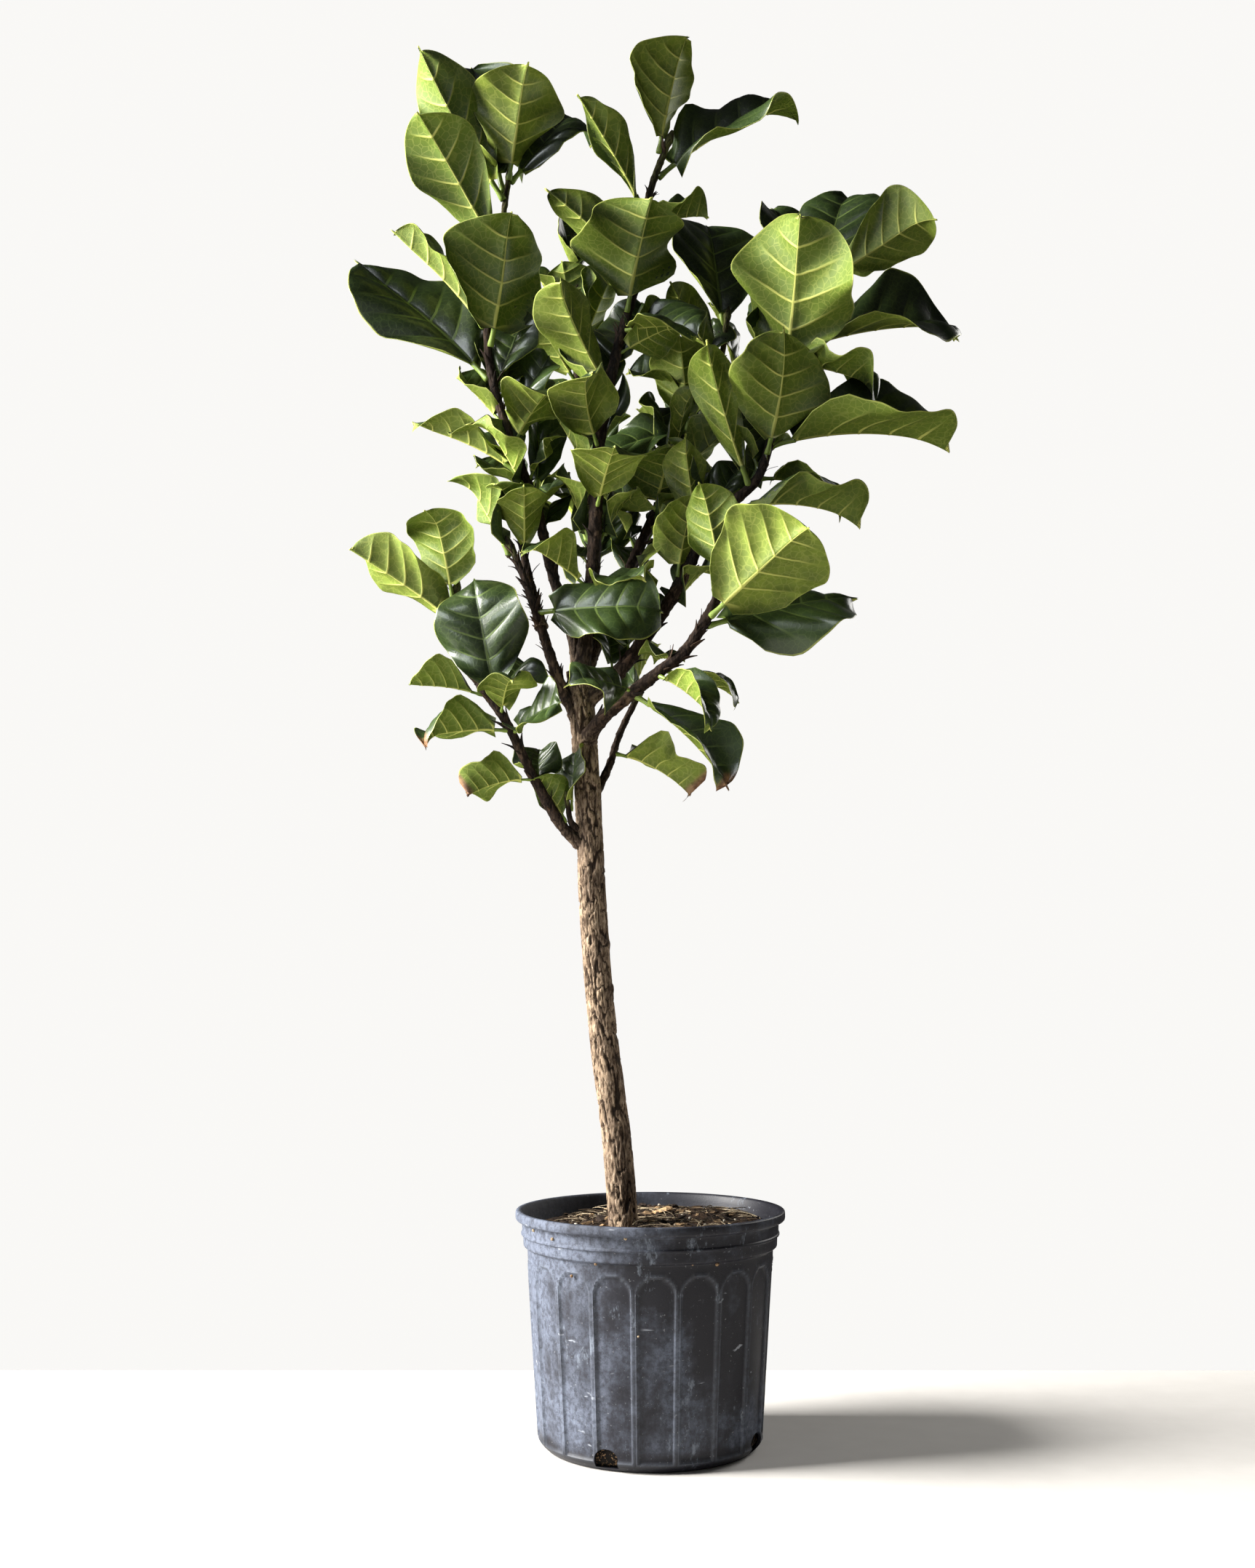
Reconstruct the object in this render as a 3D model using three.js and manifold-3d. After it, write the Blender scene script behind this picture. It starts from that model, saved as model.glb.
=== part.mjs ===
// A fiddle leaf fig in a round nursery pot: the pot, its soil, one trunk with its limbs, and the leaves.
// Millimetres, +Z up. The origin is the middle of the pot's flat underside, and the front is at -Y.

import * as THREE from 'three';
import { mergeVertices } from 'three/addons/utils/BufferGeometryUtils.js';
import Module from 'manifold-3d';

const wasm = await Module();
wasm.setup();

const { degToRad, lerp } = THREE.MathUtils;

// Pot
const POT_HEIGHT = 215;
const RIM_RADIUS = 127;
const BAND_RADIUS = 121.5;
const BODY_TOP_RADIUS = 115;
const BODY_BASE_RADIUS = 104.5;
const BAND_BOTTOM = 183;
const BAND_TOP = 208;
const BODY_TOP = 172;
const WALL = 2.4;
const BASE_ROUNDING = 8;
const PANELS = 18;
const PANEL_DEPTH = 1;
const PANEL_HALF_WIDTH = 16;
const PANEL_BOTTOM = 12;
const PANEL_SPRING = 154;
const PANEL_TURN = 2;
const DRAIN_HOLES = 4;
const DRAIN_WIDTH = 22;
const DRAIN_TOP = 19;
const DRAIN_TURN = -23;

// Soil
const SOIL_EDGE = 197;
const SOIL_MIDDLE = 202;
const GAP = 0.4;

// Leaves
const BLADE_THICKNESS = 1.2;
const PETIOLE_RADIUS = 2;
const PETIOLE_SHARE = 0.12;
const MIDRIB_DEPTH = 1;
const WAVE_HEIGHT = 0.03;

// Woody stems: centre line points from the root to the tip, then the radius at each end.
const STEMS = {
  trunk: {
    points: [[-23, -2, 133], [-26, -2, 210], [-33, 0, 291], [-43, 0, 365], [-53, 0, 473],
      [-58, 0, 571], [-63, 0, 660], [-69, 0, 731]],
    radii: [14.5, 12.5], sides: 12,
  },
  left_low: {
    points: [[-67, 0, 561], [-86, -12, 579], [-111, -24, 622], [-138, -31, 676],
      [-162, -29, 709], [-186, -16, 754], [-190, -12, 780], [-188, -10, 808]],
    radii: [5.5, 3],
  },
  left_twig: { points: [[-69, -4, 573], [-76, -12, 581], [-79, -16, 598]], radii: [3, 2] },
  right_low: { points: [[-55, 2, 604], [-40, 14, 636], [-29, 24, 671], [-10, 33, 712]], radii: [4, 3] },
  right_limb: {
    points: [[-63, -2, 658], [-43, -29, 681], [8, -49, 720], [36, -53, 743], [65, -56, 792],
      [73, -53, 818]],
    radii: [7, 4.5],
  },
  right_main: {
    points: [[-63, 0, 700], [-32, -6, 725], [9, -10, 780], [38, -6, 831], [54, 0, 866], [85, 2, 900],
      [110, 0, 928], [128, -5, 993], [145, -5, 1055]],
    radii: [7.5, 3.2],
  },
  centre: {
    points: [[-68, 0, 717], [-60, -4, 774], [-54, -15, 844], [-51, -29, 918], [-46, -29, 974],
      [-31, -15, 1050], [-11, 2, 1132], [0, 5, 1214], [20, 0, 1271]],
    radii: [8, 3.2],
  },
  left_fork: {
    points: [[-69, 0, 681], [-87, -8, 716], [-106, -13, 772], [-121, -12, 816], [-136, -8, 852]],
    radii: [6.5, 2.8],
  },
  left_fork_side: { points: [[-105, -12, 770], [-113, -2, 802], [-125, 6, 853], [-126, 8, 877]], radii: [5, 3] },
  left_main: {
    points: [[-69, 0, 719], [-75, 10, 765], [-96, 14, 831], [-111, 2, 892], [-134, -10, 952],
      [-155, -15, 1020], [-160, -12, 1081], [-151, -2, 1153], [-141, 0, 1232]],
    radii: [6.2, 2.8],
  },
  middle_right: {
    points: [[-67, 2, 719], [-34, 20, 801], [-6, 37, 870], [29, 53, 952], [53, 63, 1016], [74, 67, 1064],
      [82, 67, 1112]],
    radii: [6.5, 2.8],
  },
  back_centre: {
    points: [[-69, 4, 717], [-58, 47, 807], [-59, 84, 922], [-75, 96, 1074], [-79, 80, 1198]],
    radii: [6, 2.8],
  },
  back_right: {
    points: [[-65, 4, 714], [-51, 31, 763], [-17, 73, 851], [11, 98, 918], [50, 114, 993], [93, 112, 1064],
      [143, 87, 1120], [194, 59, 1161]],
    radii: [6, 2.8],
  },
};

// Leaves, stem by stem. Each row is: place along the stem from 0 to 1, compass heading and rise of the
// leaf's chord, length and width of leaf, roll about the chord, bend from base to tip, upward fold of
// each half. Angles are in degrees; heading 0 is +X and 90 is +Y.
const LEAVES = {
  left_low: [
    [0.90, -170, 35, 115, 72, 45, 10, 30],
    [0.98, -130, 70, 85, 88, 10, 15, 20],
    [0.57, -165, 78, 118, 92, -105, 10, 10],
    [0.52, -75, 25, 58, 56, 10, 40, 10],
    [0.55, 45, 50, 60, 72, 10, 35, 20],
    [0.61, -172, 5, 66, 58, 5, 25, 40],
    [0.46, -165, -10, 85, 72, 40, 35, 30],
    [0.28, -165, -15, 60, 56, 40, 40, 30],
  ],
  right_low: [
    [0.44, -15, -30, 85, 70, -30, 40, 30],
  ],
  right_limb: [
    [0.80, -38, 32, 128, 124, -42, 10, 25],
    [0.76, 18, 18, 150, 112, 62, 0, 10],
    [0.98, -145, 75, 85, 66, 40, 20, 25],
    [0.51, 25, -15, 80, 54, 10, 20, 25],
    [0.34, -5, -45, 120, 68, 35, 30, 35],
    [0.33, -140, 5, 65, 68, -55, 15, 15],
  ],
  right_main: [
    [0.92, -85, 58, 150, 130, -27, 20, 10],
    [1.00, 13, 12, 175, 118, 38, 25, 28],
    [0.74, -62, 60, 112, 108, -10, 5, 10],
    [0.76, 5, 0, 180, 114, 30, 35, 40],
    [0.65, -130, 56, 145, 60, 35, 15, 45],
    [0.49, -130, 70, 90, 54, 40, 15, 40],
    [0.59, 5, -5, 125, 72, 5, 40, 35],
    [0.68, 20, -10, 95, 62, 0, 35, 35],
  ],
  centre: [
    [0.98, -35, 75, 112, 108, 0, 5, 30],
    [0.94, 8, 35, 155, 112, 40, 20, 25],
    [0.87, -135, 45, 120, 66, 20, 15, 55],
    [0.84, 10, 15, 60, 56, 20, 25, 45],
    [0.67, -65, 65, 105, 132, 0, -5, 30],
    [0.76, -165, 40, 110, 62, 50, 15, 40],
    [0.52, -130, 45, 110, 74, 50, 20, 40],
    [0.41, -105, 40, 80, 72, 40, 25, 20],
    [0.36, 170, 60, 90, 50, 0, 10, 35],
    [0.31, -75, 30, 75, 78, 0, 20, 20],
  ],
  left_fork: [
    [0.97, 165, 60, 95, 66, 20, 10, 25],
    [0.60, -15, 0, 118, 88, 72, 15, 12],
  ],
  left_fork_side: [
    [0.90, -115, 50, 60, 60, 0, 15, 20],
    [0.75, -85, 50, 70, 54, 5, 15, 25],
  ],
  left_main: [
    [0.96, -150, 50, 155, 72, 50, 10, 25],
    [0.98, 150, 72, 150, 100, -45, 10, 20],
    [1.00, -65, 60, 105, 100, 0, 10, 25],
    [1.00, 25, 50, 122, 92, 35, 10, 25],
    [0.86, -140, 50, 145, 80, 45, 30, 15],
    [0.66, -55, 70, 122, 132, 0, -5, 25],
    [0.60, 165, 46, 178, 122, -50, 10, 20],
    [0.70, -175, 45, 125, 62, 10, 20, 40],
    [0.42, -175, 25, 110, 64, 5, 20, 45],
    [0.37, 90, 80, 115, 62, 35, 10, 35],
  ],
  middle_right: [
    [0.98, 110, 70, 145, 112, 0, 15, 20],
    [0.78, 55, 75, 95, 62, 0, 10, 20],
    [0.62, 25, 65, 85, 78, 0, 10, 20],
    [0.47, -70, 50, 70, 98, 0, 10, 10],
    [0.69, 180, -15, 105, 62, -60, 20, 20],
  ],
  back_centre: [
    [0.83, -120, 75, 65, 66, -5, 10, 25],
    [0.94, 140, 80, 65, 68, 0, 10, 25],
  ],
  back_right: [
    [0.93, 120, 65, 130, 84, 0, 10, 25],
    [0.97, 55, 65, 130, 104, 15, 10, 15],
    [1.00, -20, 24, 112, 90, -40, 20, 30],
  ],
};

const potPlastic = new THREE.MeshStandardMaterial({ color: 0x2f3237, roughness: 0.7, metalness: 0 });
const pottingSoil = new THREE.MeshStandardMaterial({ color: 0x32251b, roughness: 1, metalness: 0 });
const bark = new THREE.MeshStandardMaterial({ color: 0x6d6152, roughness: 0.9, metalness: 0 });
const leafSkin = new THREE.MeshStandardMaterial({ color: 0x5e7d2b, roughness: 0.45, metalness: 0 });

// Solids are joined and cut as manifolds, which need each shared corner stored once.
function toSolid(geometry) {
  const bare = geometry.clone();
  bare.deleteAttribute('normal');
  bare.deleteAttribute('uv');
  const merged = mergeVertices(bare, 1e-3);
  return new wasm.Manifold(new wasm.Mesh({
    numProp: 3,
    vertProperties: new Float32Array(merged.attributes.position.array),
    triVerts: new Uint32Array(merged.index.array),
  }));
}

function toGeometry(solid) {
  const mesh = solid.getMesh();
  const geometry = new THREE.BufferGeometry();
  geometry.setAttribute('position', new THREE.BufferAttribute(new Float32Array(mesh.vertProperties), 3));
  geometry.setIndex(new THREE.BufferAttribute(new Uint32Array(mesh.triVerts), 1));
  geometry.computeVertexNormals();
  return geometry;
}

function named(name, geometry, material) {
  const mesh = new THREE.Mesh(geometry, material);
  mesh.name = name;
  return mesh;
}

// Runs a function over every corner of a geometry and writes back the point it gives.
function reshape(geometry, move) {
  const position = geometry.attributes.position;
  for (let i = 0; i < position.count; i++) {
    const moved = move(new THREE.Vector3().fromBufferAttribute(position, i));
    position.setXYZ(i, moved.x, moved.y, moved.z);
  }
  return geometry;
}

// Radius and height pairs from the middle of the underside, up the outside and down the inside.
function potProfile() {
  const outside = [
    [RIM_RADIUS - 3, POT_HEIGHT], [RIM_RADIUS, POT_HEIGHT - 2.5], [RIM_RADIUS, BAND_TOP],
    [BAND_RADIUS, BAND_TOP - 0.5], [BAND_RADIUS - 0.5, BAND_BOTTOM + 11],
    [BAND_RADIUS - 2, BAND_BOTTOM + 10], [BAND_RADIUS - 2.5, BAND_BOTTOM],
    [BODY_TOP_RADIUS, BODY_TOP], [BODY_TOP_RADIUS - 0.2, PANEL_SPRING + PANEL_HALF_WIDTH],
    [BODY_TOP_RADIUS - 0.5, PANEL_SPRING + 0.8 * PANEL_HALF_WIDTH],
    [BODY_TOP_RADIUS - 1, PANEL_SPRING], [BODY_BASE_RADIUS + 0.8, PANEL_BOTTOM],
    [BODY_BASE_RADIUS, BASE_ROUNDING], [BODY_BASE_RADIUS - 2.5, 2.5], [BODY_BASE_RADIUS - BASE_ROUNDING, 0],
  ];
  const inside = [
    [BAND_RADIUS - WALL, POT_HEIGHT - 2], [BAND_RADIUS - 4 - WALL, BAND_BOTTOM + 3],
    [BODY_TOP_RADIUS - PANEL_DEPTH - WALL, BODY_TOP - 2], [BODY_BASE_RADIUS - WALL - 1.5, BASE_ROUNDING],
    [BODY_BASE_RADIUS - BASE_ROUNDING, WALL],
  ];
  return [[0, 0], ...outside.reverse(), ...inside, [0, WALL]];
}

// Turned about +Z, four corners to each panel: two stay on the ribs and two press in with the arch.
function potBody() {
  const profile = potProfile().map(([radius, height]) => new THREE.Vector2(radius, height));
  const lathe = new THREE.LatheGeometry(profile, PANELS * 4).rotateX(Math.PI / 2);
  const pitch = 2 * Math.PI / PANELS;
  const ribEdge = pitch / 2 - 0.022;
  return reshape(lathe, (point) => {
    const radius = Math.hypot(point.x, point.y);
    const steps = Math.round(Math.atan2(point.y, point.x) / (pitch / 4));
    const panel = Math.floor(steps / 4);
    const corner = steps - 4 * panel;
    const middle = panel * pitch + degToRad(PANEL_TURN - 90);
    const half = archHalfAngle(point.z, radius);
    const pressed = corner === 1 || corner === 2;
    const turn = middle + [-ribEdge, -half, half, ribEdge][corner];
    const outer = radius > outerWallRadius(point.z) - 0.6 && point.z > 1 && point.z < BODY_TOP - 3;
    const reach = radius - (pressed && outer ? PANEL_DEPTH : 0);
    return new THREE.Vector3(reach * Math.cos(turn), reach * Math.sin(turn), point.z);
  });
}

function archHalfAngle(height, radius) {
  const rise = THREE.MathUtils.clamp((height - PANEL_SPRING) / PANEL_HALF_WIDTH, 0, 0.95);
  return PANEL_HALF_WIDTH * Math.sqrt(1 - rise * rise) / Math.max(radius, BODY_BASE_RADIUS) - 0.012;
}

function outerWallRadius(height) {
  return lerp(BODY_BASE_RADIUS, BODY_TOP_RADIUS, THREE.MathUtils.clamp(height / BODY_TOP, 0, 1)) - 1;
}

// A drain hole is a rounded doorway pushed in through the foot of the wall.
function drainCutter(turn) {
  const doorway = new THREE.Shape();
  const half = DRAIN_WIDTH / 2;
  doorway.moveTo(-half, WALL + 1).lineTo(half, WALL + 1).lineTo(half, DRAIN_TOP - 6);
  doorway.absarc(half - 6, DRAIN_TOP - 6, 6, 0, Math.PI / 2, false);
  doorway.absarc(6 - half, DRAIN_TOP - 6, 6, Math.PI / 2, Math.PI, false);
  const cutter = new THREE.ExtrudeGeometry(doorway, { depth: 16, bevelEnabled: false, curveSegments: 3 });
  return cutter.rotateX(Math.PI / 2).translate(0, -(BODY_BASE_RADIUS - 8), 0).rotateZ(degToRad(turn));
}

function makePot() {
  let pot = toSolid(potBody());
  for (let hole = 0; hole < DRAIN_HOLES; hole++) {
    const cutter = drainCutter(DRAIN_TURN + 360 * hole / DRAIN_HOLES);
    pot = pot.subtract(toSolid(cutter));
  }
  return named('pot', toGeometry(pot), potPlastic);
}

// The soil fills the pot to just under the band, and its top is a low uneven mound.
function makeSoil() {
  const profile = [
    [0, WALL + GAP], [BODY_BASE_RADIUS - BASE_ROUNDING - 1, WALL + GAP],
    [BODY_BASE_RADIUS - WALL - 3, BASE_ROUNDING + 1],
    [BODY_TOP_RADIUS - PANEL_DEPTH - WALL - 1.5, BODY_TOP - 3], [BAND_RADIUS - WALL - 5.5, SOIL_EDGE],
    [85, SOIL_EDGE + 2], [50, SOIL_MIDDLE - 1], [0, SOIL_MIDDLE],
  ];
  const lathe = new THREE.LatheGeometry(profile.map(([r, z]) => new THREE.Vector2(r, z)), 36);
  lathe.rotateX(Math.PI / 2);
  reshape(lathe, (point) => {
    const isTop = point.z > SOIL_EDGE + 1;
    const bump = isTop ? 1.5 * Math.sin(point.x / 17) * Math.cos(point.y / 13) + point.y / 50 : 0;
    return new THREE.Vector3(point.x, point.y, point.z + bump);
  });
  const crown = toSolid(makeStem(STEMS.trunk, GAP));
  return named('soil', toGeometry(toSolid(lathe).subtract(crown)), pottingSoil);
}

function stemCurve(stem) {
  const points = stem.points.map((point) => new THREE.Vector3(...point));
  return new THREE.CatmullRomCurve3(points, false, 'catmullrom', 0.5);
}

// A cylinder bent along the stem's centre line, thinning from the first radius to the second.
function makeStem(stem, extra = 0) {
  const curve = stemCurve(stem);
  const steps = stem.points.length * 2 - 1;
  const frames = curve.computeFrenetFrames(steps);
  const cylinder = new THREE.CylinderGeometry(1, 1, 1, stem.sides ?? 7, steps);
  return reshape(cylinder, (point) => {
    const along = point.y + 0.5;
    const step = Math.round(along * steps);
    const radius = lerp(...stem.radii, along) + extra;
    return curve.getPointAt(along)
      .addScaledVector(frames.binormals[step], point.x * radius)
      .addScaledVector(frames.normals[step], point.z * radius);
  });
}

function makeTree() {
  const stems = Object.values(STEMS).map((stem) => toSolid(makeStem(stem)));
  return named('tree', toGeometry(stems.reduce((tree, stem) => tree.add(stem))), bark);
}

// A point on an arc that leaves at the angle start and turns down by turn over the whole length.
function arcPoint(distance, length, start, turn) {
  if (Math.abs(turn) < 1e-6) {
    return [distance * Math.cos(start), distance * Math.sin(start)];
  }
  const radius = length / turn;
  const angle = start - distance / radius;
  return [radius * (Math.sin(start) - Math.sin(angle)), radius * (Math.cos(angle) - Math.cos(start))];
}

// Half width of the blade, from 0 to 1: narrow and round at the base, widest past the middle.
function outline(along) {
  return Math.sin(Math.PI * (0.06 + 0.935 * along) ** 1.25) ** 0.5;
}

// Rows of a blade follow its side veins, which sweep from the midrib towards the tip.
function bladePoint(along, across) {
  const edge = along ** 0.7;
  const lobe = 0.03 * (1 - along) ** 6;
  const reach = along + (edge - along) * Math.abs(across) ** 1.3 - lobe * across * across;
  return [reach, across * outline(edge)];
}

// A box splits the squares of its upper and lower sides along opposite diagonals. Turning the lower
// ones makes both sides bend alike, so that a thin twisted leaf never passes through itself.
function matchDiagonals(box) {
  const { start, count } = box.groups.at(-1);
  for (let i = start; i < start + count; i += 6) {
    const [a, b, d, , c] = box.index.array.slice(i, i + 6);
    box.index.array.set([a, b, c, a, c, d], i);
  }
  return box;
}

// A box with rows from the leaf's foot to its tip. The first two rows are the round petiole, and the
// others spread into the blade. It lies along +X with its upper face to +Z.
function leafGeometry(length, width, bend, fold) {
  const petiole = PETIOLE_SHARE * length;
  const stations = [-1, -0.35, 0, 0.16, 0.4, 0.64, 0.86, 1];
  const rows = stations.length - 1;
  const box = matchDiagonals(new THREE.BoxGeometry(rows, 2, 2, rows, 4, 1));
  return reshape(box, (point) => {
    const along = stations[Math.round(point.x + rows / 2)];
    const across = point.y;
    const side = Math.sign(point.z);
    const onPetiole = along < 0;
    const distance = petiole * (1 + Math.min(along, 0));
    const [reach, spread] = onPetiole ? [0, 0] : bladePoint(along, across);
    const travel = onPetiole ? distance : petiole + reach * (length - petiole);
    const start = onPetiole ? 0 : fold;
    const [y, z] = arcPoint(Math.abs(spread) * width / 2, width / 2, start, 0.15);
    const ripple = onPetiole ? 0 : WAVE_HEIGHT * width * across ** 4 * Math.sin(along * 14);
    const round = [across * PETIOLE_RADIUS, side * PETIOLE_RADIUS * Math.sqrt(1.2 - across * across)];
    const rib = side < 0 ? MIDRIB_DEPTH * (1 - Math.abs(across)) ** 2 : 0;
    const height = onPetiole ? round[1] : z + ripple + side * BLADE_THICKNESS / 2 - rib;
    const lateral = onPetiole ? round[0] : Math.sign(across) * y;
    const tilt = bend * (0.5 - travel / length);
    const [x, drop] = arcPoint(travel, length, bend / 2, bend);
    return new THREE.Vector3(x - height * Math.sin(tilt), lateral, drop + height * Math.cos(tilt));
  });
}

// The petiole's foot stands on the bark, on the side of the stem that the leaf points to.
function leafFoot(stem, along, direction) {
  const curve = stemCurve(stem);
  const tangent = curve.getTangentAt(along);
  const lean = direction.dot(tangent);
  const sideways = direction.clone().addScaledVector(tangent, -lean).normalize();
  const clearance = lerp(...stem.radii, along) + GAP + PETIOLE_RADIUS * (Math.abs(lean) + 0.1);
  return curve.getPointAt(along).addScaledVector(sideways, clearance);
}

function makeLeaf(name, stem, row) {
  const [along, heading, rise, length, width, roll, bend, fold] = row;
  const turn = new THREE.Euler(degToRad(roll), degToRad(-rise), degToRad(heading), 'ZYX');
  const direction = new THREE.Vector3(1, 0, 0).applyEuler(turn);
  const leaf = named(name, leafGeometry(length, width, degToRad(bend), degToRad(fold)), leafSkin);
  leaf.rotation.copy(turn);
  leaf.position.copy(leafFoot(stem, along, direction));
  return leaf;
}

const plant = new THREE.Group();
plant.add(makePot(), makeSoil(), makeTree());
for (const [stemName, rows] of Object.entries(LEAVES)) {
  rows.forEach((row, i) => plant.add(makeLeaf(`leaf_${stemName}_${i + 1}`, STEMS[stemName], row)));
}

export default plant;
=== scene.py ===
"""A fiddle leaf fig in a nursery pot: the pot, its soil, a barky trunk, leafy limbs and the stage."""

import math

import bpy
import numpy as np
from bpy.props import FloatProperty, FloatVectorProperty, IntProperty, PointerProperty
from bpy.types import Operator, Panel, PropertyGroup
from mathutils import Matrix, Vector


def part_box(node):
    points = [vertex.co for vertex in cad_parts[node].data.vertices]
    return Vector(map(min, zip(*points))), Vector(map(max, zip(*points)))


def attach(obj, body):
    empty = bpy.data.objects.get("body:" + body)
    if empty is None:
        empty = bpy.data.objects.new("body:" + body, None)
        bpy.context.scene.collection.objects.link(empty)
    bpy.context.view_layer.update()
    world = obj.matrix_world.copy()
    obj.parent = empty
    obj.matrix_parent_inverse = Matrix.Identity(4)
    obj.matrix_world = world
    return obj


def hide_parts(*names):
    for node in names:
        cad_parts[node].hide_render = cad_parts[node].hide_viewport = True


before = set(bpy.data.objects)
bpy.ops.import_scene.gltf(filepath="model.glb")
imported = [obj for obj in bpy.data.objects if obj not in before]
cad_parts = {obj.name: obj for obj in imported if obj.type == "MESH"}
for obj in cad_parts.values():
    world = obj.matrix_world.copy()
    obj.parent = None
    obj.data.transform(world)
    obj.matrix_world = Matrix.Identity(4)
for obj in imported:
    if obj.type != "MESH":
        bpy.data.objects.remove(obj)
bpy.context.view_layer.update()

bl_info = {
    "name": "Potted fiddle leaf fig",
    "version": (1, 0, 0),
    "blender": (4, 5, 0),
    "location": "View3D > Sidebar > Fig",
    "description": "Grows a fiddle leaf fig in its nursery pot, piece by piece",
    "category": "Add Mesh",
}

MM = 0.001
# The pot's height and the radius of its rim in millimetres, read from the pot in model.glb.
POT_HEIGHT = round(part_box("pot")[1][2] / MM, 1)
RIM_RADIUS = round(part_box("pot")[1][0] / MM, 1)

# Woody stems: points of the centre line in millimetres, then the radius at the foot and at the tip.
STEMS = {
    "trunk": (
        [(-23, -2, 133), (-26, -2, 210), (-33, 0, 291), (-43, 0, 365), (-53, 0, 473),
         (-58, 0, 571), (-63, 0, 660), (-69, 0, 731)], 14.5, 12.5),
    "left_low": (
        [(-67, 0, 561), (-86, -12, 579), (-111, -24, 622), (-138, -31, 676), (-162, -29, 709),
         (-186, -16, 754), (-190, -12, 780), (-188, -10, 808)], 5.5, 3),
    "left_twig": (
        [(-69, -4, 573), (-76, -12, 581), (-79, -16, 598)], 3, 2),
    "right_low": (
        [(-55, 2, 604), (-40, 14, 636), (-29, 24, 671), (-10, 33, 712)], 4, 3),
    "right_limb": (
        [(-63, -2, 658), (-43, -29, 681), (8, -49, 720), (36, -53, 743), (65, -56, 792),
         (73, -53, 818)], 7, 4.5),
    "right_main": (
        [(-63, 0, 700), (-32, -6, 725), (9, -10, 780), (38, -6, 831), (54, 0, 866), (85, 2, 900),
         (110, 0, 928), (128, -5, 993), (145, -5, 1055)], 7.5, 3.2),
    "centre": (
        [(-68, 0, 717), (-60, -4, 774), (-54, -15, 844), (-51, -29, 918), (-46, -29, 974),
         (-31, -15, 1050), (-11, 2, 1132), (0, 5, 1214), (20, 0, 1271)], 8, 3.2),
    "left_fork": (
        [(-69, 0, 681), (-87, -8, 716), (-106, -13, 772), (-121, -12, 816), (-136, -8, 852)], 6.5, 2.8),
    "left_fork_side": (
        [(-105, -12, 770), (-113, -2, 802), (-125, 6, 853), (-126, 8, 877)], 5, 3),
    "left_main": (
        [(-69, 0, 719), (-75, 10, 765), (-96, 14, 831), (-111, 2, 892), (-134, -10, 952),
         (-155, -15, 1020), (-160, -12, 1081), (-151, -2, 1153), (-141, 0, 1232)], 6.2, 2.8),
    "middle_right": (
        [(-67, 2, 719), (-34, 20, 801), (-6, 37, 870), (29, 53, 952), (53, 63, 1016),
         (74, 67, 1064), (82, 67, 1112)], 6.5, 2.8),
    "back_centre": (
        [(-69, 4, 717), (-58, 47, 807), (-59, 84, 922), (-75, 96, 1074), (-79, 80, 1198)], 6, 2.8),
    "back_right": (
        [(-65, 4, 714), (-51, 31, 763), (-17, 73, 851), (11, 98, 918), (50, 114, 993),
         (93, 112, 1064), (143, 87, 1120), (194, 59, 1161)], 6, 2.8),
}

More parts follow.
